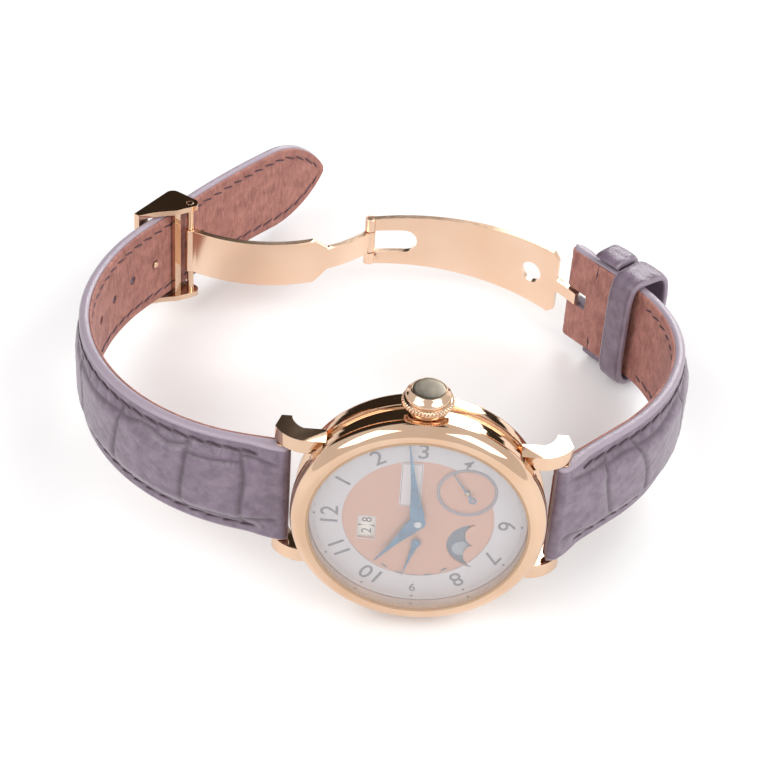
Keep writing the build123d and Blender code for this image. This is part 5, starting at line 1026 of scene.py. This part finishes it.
def scale_grooves(side, along, across):
    """How deep the surface lies between alligator scales, nought to one: large tiles in rows across the
    middle, some of them split lengthways, and small ones at the flanks. Each groove is a bell curve about
    a line that bends and wavers."""
    local = np.random.default_rng(SCALE_SEEDS[side])
    waves = [(local.uniform(*ROW_RATES), local.uniform(0, 6)) for i in range(3)]
    wobble = sum(np.sin(across * f + p) for f, p in waves) * ROW_WOBBLE
    places = np.cumsum(local.uniform(*TILE_LENGTHS, TILE_ROWS)) - FIRST_TILE_BACK
    valley = np.zeros(along.shape)
    row = np.zeros(along.shape)
    for place in places:
        bend = local.uniform(-ROW_BEND, ROW_BEND) * across ** 2
        bend = bend + local.uniform(-ROW_LEAN, ROW_LEAN) * across
        valley = np.maximum(valley, groove_at(along - place - bend - wobble, ROW_GROOVE))
        row = row + (along > place + bend + wobble)
    for k in range(TILE_ROWS + 1):
        inside = row == k
        for edge in (-1, 1):
            middle = edge * local.uniform(*FLANK_FROM)
            line = middle + FLANK_WOBBLE * np.sin(along * local.uniform(*FLANK_RATES) + local.uniform(0, 6))
            flank_groove = groove_at(across - line, FLANK_GROOVE)
            valley = np.where(inside, np.maximum(valley, flank_groove), valley)
            flank = (across - line) * edge > 0
            pitch = local.uniform(*SMALL_LENGTHS)
            shifted = along + local.uniform(0, 3) + SMALL_WOBBLE * np.sin(across * 2)
            small = np.abs((shifted / pitch) % 1 - 0.5) * pitch
            small_groove = groove_at(pitch / 2 - small, SMALL_GROOVE)
            valley = np.where(inside & flank, np.maximum(valley, small_groove), valley)
        if local.random() < SPLIT_SHARE:
            line = local.uniform(-SPLIT_WITHIN, SPLIT_WITHIN) + SPLIT_WOBBLE * np.sin(along * 0.6)
            split_groove = groove_at(across - line, SPLIT_GROOVE)
            valley = np.where(inside, np.maximum(valley, split_groove), valley)
    return valley


def wrinkles(along, across):
    """Fine skin wrinkles: a product of two sines, each shifted by a slower sine across it, and six tenths of
    a product of two quicker ones."""
    return (
        np.sin(along * 1.7 + 0.8 * np.sin(across * 0.9)) * np.sin(across * 2.3 + np.sin(along * 0.7))
        + 0.6 * np.sin(along * 3.9 + across * 1.1) * np.sin(across * 4.3 - along * 0.5)
    )


def roll_limits(side, along):
    """Where the leather's ends, rolled round their bars, begin and end above the lining's face: half circles
    about the bar that never close. The long half's tail isn't rolled."""
    low = np.full(along.shape, 0.0)
    high = np.full(along.shape, np.inf)
    rolled_ends = [(0.0, -1)] + ([(STRAP_LENGTH[side], 1)] if side < 0 else [])
    for centre, way in rolled_ends:
        past = np.clip((along - centre) * way, 0, BAR_TO_LINING)
        lift = np.sqrt(np.maximum(BAR_TO_LINING ** 2 - past ** 2, ROLL_OPEN ** 2))
        low = np.where(past > 0, BAR_TO_LINING - lift, low)
        high = np.where(past > 0, BAR_TO_LINING + lift, high)
    return low, high


# The leather's section as a ring: points over the outside, round each edge and over the inside
OUTSIDE_COUNT, ROUND_COUNT, INSIDE_COUNT = 71, 11, 15
EDGE_ROUND = 0.75
ROW_PITCH = 0.35
ROLL_ROWS = 9
TAIL_ROWS = 60
TAIL_BLUNT = 0.3
NARROWEST_HALF = 0.35
LINING_OVERLAP = 0.35
THINNEST = 0.05
SCALE_DEPTH = 0.28
WRINKLE_DEPTH = 0.03
SEAM_DEPTH = 0.14
SEAM_WIDTH = 0.32
# Stretches over which each feature sets in: from the rim inwards, or from the lug bar along
SEAM_START = (3.0, 4.0)
SCALES_FROM_RIM = (2.0, 3.0)
SCALES_FROM_BAR = (-1.0, 1.5)
WRINKLES_FROM_RIM = (0.3, 1.5)
PAINTED_RIM = (0.1, 0.45)
# How dark the grooves between scales and the seam are, of the groove's tint
GROOVE_TINT, SEAM_TINT = 0.8, 0.7


def strap_leather(side, name, replaced, body):
    """The outer leather: an outside that is flat at the rims and padded between the seams by a smooth step,
    rounded painted edges and a plain inside."""
    length = STRAP_LENGTH[side]
    roll = -BAR_TO_LINING * np.cos(np.linspace(0, pi / 2, ROLL_ROWS))[:-1]
    if side > 0:
        tail = length - TAIL + (TAIL - TAIL_BLUNT) * np.sin(np.linspace(0, pi / 2, TAIL_ROWS))
        along = np.concatenate([roll, np.arange(0, length - TAIL, ROW_PITCH), tail])
    else:
        along = np.concatenate([roll, np.arange(0, length, ROW_PITCH), length - roll[::-1]])
    turn = np.linspace(pi / 2, -pi / 2, ROUND_COUNT + 2)[1:-1]
    no_swell, no_lift = np.zeros(OUTSIDE_COUNT), np.zeros(INSIDE_COUNT)
    v = np.concatenate([
        crowded(OUTSIDE_COUNT, 0.35), np.full(ROUND_COUNT, 1.0),
        np.linspace(1, -1, INSIDE_COUNT), np.full(ROUND_COUNT, -1.0),
    ])
    swell = np.concatenate([no_swell, np.cos(turn), np.zeros(INSIDE_COUNT), np.cos(turn)])
    lift = np.concatenate([np.ones(OUTSIDE_COUNT), (np.sin(turn) + 1) / 2, no_lift, (1 - np.sin(turn)) / 2])
    is_outside = np.arange(len(v)) < OUTSIDE_COUNT
    s, vv = np.meshgrid(along, v, indexing="ij")
    halves = np.repeat(np.maximum(half_width(side, along), NARROWEST_HALF)[:, None], len(v), 1)
    round_by = np.minimum(EDGE_ROUND, halves * 0.5)
    y = vv * (halves - round_by) + np.sign(vv) * swell * round_by
    rim = halves - np.abs(y)
    valley = scale_grooves(side, s, y)
    seam_line = trough(rim - STITCH_INSET, SEAM_WIDTH) * step(s, *SEAM_START)
    flat = edge_height(side, s)
    padding = (crown_height(side, s) - flat) * step(rim, PAD_FROM_RIM, PAD_TO_RIM)
    fade = step(rim, *SCALES_FROM_RIM) * step(s, *SCALES_FROM_BAR)
    relief = WRINKLE_DEPTH * step(rim, *WRINKLES_FROM_RIM) * wrinkles(s, y) - fade * SCALE_DEPTH * valley
    low, high = roll_limits(side, s)
    top = np.minimum(flat + padding + relief - SEAM_DEPTH * seam_line, high)
    inner = np.minimum(low + LINING_OVERLAP, top - THINNEST)
    out = inner + (top - inner) * lift
    points = on_strap(side, s.ravel(), y.ravel(), out.ravel())
    uv = np.stack([s, y + out * np.sign(vv) * ~is_outside], -1).reshape(-1, 2)
    groove = np.where(is_outside, np.clip(valley * fade * GROOVE_TINT + seam_line * SEAM_TINT, 0, 1), 0)
    edge = np.where(is_outside, 1 - step(rim, *PAINTED_RIM), 1.0)
    return outward_piece(
        name, points, tube_faces(*s.shape), ALLIGATOR, body, replaced, uv=uv, groove=groove, edge=edge,
    )


LINING_INSET = 0.28
LINING_THICKNESS = 0.28
LINING_LEVEL = 0.02
LINING_RIM_LIFT, LINING_RIM_WIDTH = 0.2, 0.14
LINING_SEAM_DEPTH, LINING_SEAM_WIDTH = 0.12, 0.35
LINING_NARROWEST_HALF = 0.15
LINING_TAIL_BLUNT = 0.4
LINING_PAST_BAR = 1.35
LINING_LIFTED_UNTIL = 1.45
LINING_FIRST_ROWS = (-0.9, -0.6, -0.3)
LINING_ROW_PITCH = 0.5
LINING_FACE_COUNT, LINING_BACK_COUNT = 61, 9


def strap_lining(side, name, replaced, body):
    """The lining: a sheet inset from the painted edges, its rim drawn in softly and its seam pressed in, each
    by a bell curve, and lifted round the bars as a circle is."""
    length = STRAP_LENGTH[side]
    quarter = np.linspace(0, pi / 2, 50 if side > 0 else 9)
    if side > 0:
        last, end = length - TAIL, length - TAIL + (TAIL - LINING_TAIL_BLUNT) * np.sin(quarter)
    else:
        last, end = length, length + LINING_PAST_BAR * np.sin(quarter)
    along = np.concatenate([LINING_FIRST_ROWS, np.arange(0, last, LINING_ROW_PITCH), end])
    half = np.maximum(half_width(side, along) - LINING_INSET, LINING_NARROWEST_HALF)
    v = np.concatenate([crowded(LINING_FACE_COUNT, 0.5), np.linspace(1, -1, LINING_BACK_COUNT)])
    is_back = np.arange(len(v)) >= LINING_FACE_COUNT
    s, vv = np.meshgrid(along, v, indexing="ij")
    y = vv * half[:, None]
    rim = half[:, None] - np.abs(y)
    dip = LINING_SEAM_DEPTH * trough(rim + LINING_INSET - STITCH_INSET, LINING_SEAM_WIDTH)
    past = np.clip(np.maximum(-s, s - length if side < 0 else -1.0), 0, LINING_LIFTED_UNTIL)
    lifted = BAR_TO_LINING - np.sqrt(BAR_TO_LINING ** 2 - past ** 2)
    face = LINING_LEVEL + LINING_RIM_LIFT * trough(rim, LINING_RIM_WIDTH) + dip + lifted
    out = face + LINING_THICKNESS * is_back
    points = on_strap(side, s.ravel(), y.ravel(), out.ravel())
    uv = np.stack([s, y], -1).reshape(-1, 2)
    return outward_piece(name, points, tube_faces(*s.shape), LINING, body, replaced, uv=uv)


STITCH_RADIUS = 0.16
STITCH_BLUNT = 0.04
STITCH_RINGS, STITCH_SIDES = 7, 6
STITCH_PITCH = 2.75
STITCH_GAPS = (0.1, 0.15)
STITCH_SLANT = 0.3
OUTER_STITCH_SUNK = 0.04
INNER_STITCH_HEIGHT = 0.08
SEAM_SAMPLE = 0.05
SEAM_FROM = 3.5
SEAM_UNTIL = {1: STRAP_LENGTH[1] - 1.9, -1: 52.0}


def stitches(side, starts, ends, name, body):
    """Small waxed stitches, each a spindle from one point to another whose radius follows the root of one
    minus a fourth power; points are along, across, out."""
    from_middle = np.linspace(-1, 1, STITCH_RINGS)
    around = full_turn(STITCH_SIDES)
    t = (from_middle + 1) / 2
    line = starts[:, None, :] * (1 - t[None, :, None]) + ends[:, None, :] * t[None, :, None]
    heading = ends - starts
    heading /= np.linalg.norm(heading, axis=1)[:, None]
    sideways = np.stack([-heading[:, 1], heading[:, 0], np.zeros(len(heading))], -1)
    outwards = np.array([0.0, 0.0, 1.0])
    radius = STITCH_RADIUS * np.sqrt(np.maximum(1 - from_middle ** 4, STITCH_BLUNT))
    ringed = (
        line[:, :, None, :]
        + sideways[:, None, None, :] * (np.cos(around)[None, None, :] * radius[None, :, None])[..., None]
        + outwards * (np.sin(around)[None, None, :] * radius[None, :, None])[..., None]
    )
    points = on_strap(side, ringed[..., 0].ravel(), ringed[..., 1].ravel(), ringed[..., 2].ravel())
    faces = []
    for k in range(len(starts)):
        faces += tube_faces(STITCH_RINGS, STITCH_SIDES, k * STITCH_RINGS * STITCH_SIDES)
    outward_piece(name, points, faces, THREAD, body)


def seam_height(side, along):
    """Height of the leather's surface under the seam."""
    share = step(STITCH_INSET, PAD_FROM_RIM, PAD_TO_RIM)
    return edge_height(side, along) * (1 - share) + crown_height(side, along) * share


def seam(side, name, body):
    """Both faces' stitches along both edges and round the tail's point."""
    along = np.arange(SEAM_FROM, SEAM_UNTIL[side], SEAM_SAMPLE)
    across = half_width(side, along) - STITCH_INSET
    travelled = np.concatenate([[0], np.cumsum(np.hypot(np.diff(along), np.diff(across)))])
    marks = np.arange(0, travelled[-1], STITCH_PITCH)
    s0 = np.interp(marks + STITCH_GAPS[0], travelled, along)
    s1 = np.interp(marks + STITCH_PITCH - STITCH_GAPS[1], travelled, along)
    y0, y1 = np.interp(s0, along, across), np.interp(s1, along, across)
    flat = np.full(s0.shape, INNER_STITCH_HEIGHT)
    h0, h1 = seam_height(side, s0) - OUTER_STITCH_SUNK, seam_height(side, s1) - OUTER_STITCH_SUNK
    starts, ends = [], []
    for way in (-1, 1):
        for slant, start_height, end_height in ((-STITCH_SLANT, flat, flat), (STITCH_SLANT, h0, h1)):
            starts.append(np.stack([s0, way * (y0 - slant), start_height], -1))
            ends.append(np.stack([s1, way * (y1 + slant), end_height], -1))
    stitches(side, np.vstack(starts), np.vstack(ends), name, body)


PIN_SIDES = 20
PIN_LEVELS = (-2.0, 6.0)


def hole_cutter(side, centres, radius):
    """One cutter of many pins, each a circle square to the strap carried through it."""
    points, faces = [], []
    for i, centre in enumerate(centres):
        heading = walk(side, np.array([centre]))[2][0]
        forward = np.array([np.cos(heading), 0, np.sin(heading)])
        ring = radius * circle(PIN_SIDES) @ np.array([forward, [0, 1.0, 0]])
        for level in PIN_LEVELS:
            middle = on_strap(side, np.full(PIN_SIDES, centre), 0.0, level)
            points.append(middle + ring)
        faces += tube_faces(len(PIN_LEVELS), PIN_SIDES, i * len(PIN_LEVELS) * PIN_SIDES)
    return outward_piece("hole_cutter", np.vstack(points), faces, LINING, "strap_long")


def slab(side, along, across, out):
    """Corners and faces of a box along the strap's own directions, from pairs of limits."""
    corners = np.array([(a, b, c) for a in along for b in across for c in out], float)
    faces = [[0, 1, 3, 2], [4, 6, 7, 5], [0, 4, 5, 1], [2, 3, 7, 6], [0, 2, 6, 4], [1, 5, 7, 3]]
    return on_strap(side, corners[:, 0], corners[:, 1], corners[:, 2]), faces


def cut_away(pieces, cutter):
    """Cuts a mesh out of others, applies the cut and deletes the cutter."""
    bpy.context.view_layer.update()
    for piece in pieces:
        cut = piece.modifiers.new("cut", "BOOLEAN")
        cut.object = cutter
        cut.solver = "EXACT"
        bpy.context.view_layer.update()
        mesh = bpy.data.meshes.new_from_object(piece.evaluated_get(bpy.context.evaluated_depsgraph_get()))
        piece.modifiers.clear()
        old = piece.data
        piece.data = mesh
        bpy.data.meshes.remove(old)
    bpy.data.objects.remove(cutter)


HOLE_AT = 78.2
HOLE_PITCH = 6.4
HOLE_RADIUS = 0.78
long_leather = strap_leather(1, "long_strap_alligator", ("strap_long_upper",), "strap_long")
long_lining = strap_lining(1, "long_strap_lining", ("strap_long_lining",), "strap_long")
HOLES = [HOLE_AT + i * HOLE_PITCH for i in range(-3, 3)]
cut_away([long_leather, long_lining], hole_cutter(1, HOLES, HOLE_RADIUS))
seam(1, "long_strap_stitching", "strap_long")

# The short half's end is notched for the blade's eye and tacked across beside the notch
SHORT_END = STRAP_LENGTH[-1]
NOTCH_ALONG = (SHORT_END - 3.6, SHORT_END + 4.0)
NOTCH_ACROSS = (-1.6, 1.6)
NOTCH_OUT = (-3.0, 7.0)
short_leather = strap_leather(-1, "short_strap_alligator", ("strap_short_upper",), "strap_short")
short_lining = strap_lining(-1, "short_strap_lining", ("strap_short_lining",), "strap_short")
notch_points, notch_faces = slab(-1, NOTCH_ALONG, NOTCH_ACROSS, NOTCH_OUT)
notch = outward_piece("notch_cutter", notch_points, notch_faces, LINING, "strap_short")
cut_away([short_leather, short_lining], notch)
seam(-1, "short_strap_stitching", "strap_short")
# Each tack's two ends: along, across and out
TACK_RIM_END = (SHORT_END - 5.6, 9.3, 0.12)
TACK_INNER_END = (TACK_RIM_END[0] + 0.3, 5.9, 0.1)
tack_starts = np.array([TACK_RIM_END * np.array([1, side, 1]) for side in (-1, 1)])
tack_ends = np.array([TACK_INNER_END * np.array([1, side, 1]) for side in (-1, 1)])
stitches(-1, tack_starts, tack_ends, "fold_tacks", "strap_short")


# Keepers: leather bands round the short half, one sewn in and one loose

KEEPER_ROOM = 0.35
KEEPER_MIDDLE = 0.65
KEEPER_HALF_WIDE = 2.6
KEEPER_HALF_THICK = 0.62
KEEPER_CROWN = 0.12
KEEPER_WRINKLE = 0.04
KEEPER_SEAM, KEEPER_SEAM_WIDTH = 1.9, 0.16
KEEPER_RIM = (2.2, 2.55)
KEEPER_TINT = 0.6
KEEPER_SECTION = 40
LOOP_POWER = 0.38
LOOP_SAMPLES = 4000
SECTION_POWERS = (0.35, 0.6)
# Start and end round the loop in radians, and how many sections it has
WHOLE_LOOP = (0.0, 2 * pi, 180)
OPEN_LOOP = (-0.16 * pi, 1.16 * pi, 150)


def keeper(name, node, body, centre, low, high, closed):
    """A band along a rounded rectangle, its own section a flat rounded shape; both are superellipses. The
    band's outside is crowned by one minus a square and wrinkled."""
    half = half_width(-1, centre) + KEEPER_ROOM + KEEPER_MIDDLE
    mid, tall = (low + high) / 2, (high - low) / 2 + KEEPER_MIDDLE
    start, stop, count = WHOLE_LOOP if closed else OPEN_LOOP
    t = np.linspace(start, stop, LOOP_SAMPLES)
    path = np.stack([
        half * signed_power(np.cos(t), LOOP_POWER), mid + tall * signed_power(np.sin(t), LOOP_POWER),
    ], -1)
    travelled = np.concatenate([[0], np.cumsum(np.linalg.norm(np.diff(path, axis=0), axis=1))])
    want = np.linspace(0, travelled[-1], count + closed)[:count]
    centre_line = np.stack([np.interp(want, travelled, path[:, i]) for i in (0, 1)], -1)
    if closed:
        tangent = np.roll(centre_line, -1, 0) - np.roll(centre_line, 1, 0)
    else:
        tangent = np.gradient(centre_line, axis=0)
    tangent /= np.linalg.norm(tangent, axis=1)[:, None]
    normal = np.stack([tangent[:, 1], -tangent[:, 0]], -1)
    phi = full_turn(KEEPER_SECTION)
    wide = KEEPER_HALF_WIDE * signed_power(np.cos(phi), SECTION_POWERS[0])
    thick = KEEPER_HALF_THICK * signed_power(np.sin(phi), SECTION_POWERS[1])
    is_outer = thick > 0
    crown = KEEPER_CROWN * (1 - (wide / KEEPER_HALF_WIDE) ** 2) * is_outer
    crease = KEEPER_WRINKLE * wrinkles(want[:, None] * 0.9, wide[None, :] * 1.3) * is_outer
    raised = (thick + crown)[None, :] + crease
    across = centre_line[:, None, 0] + normal[:, None, 0] * raised
    out = centre_line[:, None, 1] + normal[:, None, 1] * raised
    along = centre + np.broadcast_to(wide[None, :], across.shape)
    points = on_strap(-1, along.ravel(), across.ravel(), out.ravel())
    if closed:
        faces = grid_faces(count, KEEPER_SECTION, True, True).tolist()
    else:
        faces = tube_faces(count, KEEPER_SECTION)
    uv = np.stack([np.broadcast_to(want[:, None], across.shape), along], -1).reshape(-1, 2)
    edge = np.broadcast_to(KEEPER_TINT * step(np.abs(wide), *KEEPER_RIM), across.shape)
    seam_line = trough(np.abs(wide) - KEEPER_SEAM, KEEPER_SEAM_WIDTH) * is_outer
    groove = np.broadcast_to(KEEPER_TINT * seam_line, across.shape)
    return outward_piece(name, points, faces, ALLIGATOR, body, (node,), uv=uv, groove=groove, edge=edge)


# Each keeper's place along the short half, and its loop's inside from below the lining to over the leather
FIXED_KEEPER = (63.2, 0.9, 5.9)
FREE_KEEPER = (56.9, -1.0, 6.1)
keeper("fixed_keeper_leather", "fixed_keeper", "strap_short", *FIXED_KEEPER, closed=False)
keeper("free_keeper_leather", "free_keeper", "free_keeper", *FREE_KEEPER, closed=True)


# Movement and other CAD pieces that keep their own mesh: each takes its slot's finish, or one of its own

FINISHES = {
    "rose_gold": ROSE_GOLD, "sapphire_crystal": BACK_SAPPHIRE, "seal_rubber": SEAL_RUBBER, "steel": STEEL,
    "nickel_plate": NICKEL_PLATE, "wheel_brass": WHEEL_BRASS, "blued_steel": BLUED_STEEL,
    "moon_enamel": MOON_NIGHT, "dial_satin": DIAL_ROSE, "chapter_grey": CHAPTER_SILVER,
    "date_enamel": DATE_CREAM, "ruby": RUBY, "alligator_leather": ALLIGATOR, "lining_leather": LINING,
}
OWN_FINISHES = {
    "bridge_screws": BLUED_SCREW, "blank_plate": PLATE_SILVER, "crystal_gasket": SEAL_NYLON,
    "seconds_ring": RING_GREY,
}
for node, item in NODES.items():
    item.data.materials.clear()
    item.data.materials.append(OWN_FINISHES.get(node, FINISHES[SLOT_OF[node]]))


# Floor, light and world, in metres

FLOOR_HALF = 2.5
FLOOR_ROWS = 41
# Plain pale paper, matt, with a drift of tone that is barely seen
PAPER = patterned("pale_floor", ("#f2f1f1", "#f7f6f6"), (0.6,), 40.0)
LIT_PLACE = (0, 0, 0.02)
# Softboxes: place, width and height, and watts
SOFTBOXES = {
    "softbox_left": ((-1.1, -0.7, 1.3), (1.2, 1.2), 13.0),
    "softbox_right": ((1.2, -0.7, 1.2), (1.2, 1.2), 15.0),
    "softbox_right_back": ((0.42, 1.12, 0.52), (0.68, 0.5), 8.0),
}


def make_floor():
    """A level sheet of paper under the watch, a square grid."""
    rows = np.linspace(-1, 1, FLOOR_ROWS)
    x, y = np.meshgrid(rows, rows, indexing="ij")
    points = np.stack([x * FLOOR_HALF, y * FLOOR_HALF, np.full(x.shape, cad_box[0].z)], -1).reshape(-1, 3)
    mesh = bpy.data.meshes.new("floor")
    mesh.from_pydata(points.tolist(), [], grid_faces(FLOOR_ROWS, FLOOR_ROWS).tolist())
    mesh.materials.append(PAPER)
    floor = bpy.data.objects.new("floor", mesh)
    bpy.context.scene.collection.objects.link(floor)


def area_light(name, place, size, watts):
    """A softbox that faces the watch."""
    data = bpy.data.lights.new(name, "AREA")
    data.shape = "RECTANGLE"
    data.size, data.size_y = size
    data.energy = watts
    light = bpy.data.objects.new(name, data)
    light.location = place
    light.rotation_euler = (Vector(LIT_PLACE) - Vector(place)).to_track_quat("-Z", "Y").to_euler()
    bpy.context.scene.collection.objects.link(light)


make_floor()
for name, (place, size, watts) in SOFTBOXES.items():
    area_light(name, place, size, watts)

# White room with dark places that the polished gold mirrors: the wall behind the table left of the watch,
# a gap in the ceiling above it and a far corner to the right. Each has its direction, the cosines at its
# edge and where it is fully dark, and for the wall the range of x over which it fades in to the left.
ROOM_WHITE = "#ffffff"
ROOM_DARK = "#3e372f"
ROOM_STRENGTH = 0.85
DARK_PLACES = (
    ((-0.31, 0.879, 0.362), 0.78, 0.82, (0.05, -0.02)),
    ((0.05, 0.42, 0.9), 0.955, 0.975, None),
    ((0.6, 0.8, 0.1), 0.985, 0.99, None),
)


def ranged(tree, way, toward, start, end):
    """Rises from nought to one as the way's part along a direction goes from start to end."""
    facing = add(tree, "ShaderNodeVectorMath", {"operation": "DOT_PRODUCT", 1: toward}, i0=way)
    limits = {"From Min": start, "From Max": end}
    return add(tree, "ShaderNodeMapRange", limits, Value=facing.outputs["Value"]).outputs["Result"]


def make_world():
    """A white room, darkened by the largest of the dark places' masks."""
    world = bpy.data.worlds.new("studio")
    bpy.context.scene.world = world
    world.use_nodes = True
    tree = world.node_tree
    way = add(tree, "ShaderNodeTexCoord").outputs["Generated"]
    dark = None
    for middle, edge, full, cut in DARK_PLACES:
        mask = ranged(tree, way, Vector(middle).normalized(), edge, full)
        if cut:
            left = ranged(tree, way, (1.0, 0.0, 0.0), *cut)
            mask = add(tree, "ShaderNodeMath", {"operation": "MULTIPLY"}, i0=mask, i1=left).outputs["Value"]
        if dark:
            mask = add(tree, "ShaderNodeMath", {"operation": "MAXIMUM"}, i0=dark, i1=mask).outputs["Value"]
        dark = mask
    colours = {"data_type": "RGBA", 6: linear(ROOM_WHITE), 7: linear(ROOM_DARK)}
    wall = add(tree, "ShaderNodeMix", colours, i0=dark)
    background = tree.nodes["Background"]
    tree.links.new(wall.outputs[2], background.inputs["Color"])
    background.inputs["Strength"].default_value = ROOM_STRENGTH


make_world()
bpy.context.scene.view_settings.view_transform = "Standard"
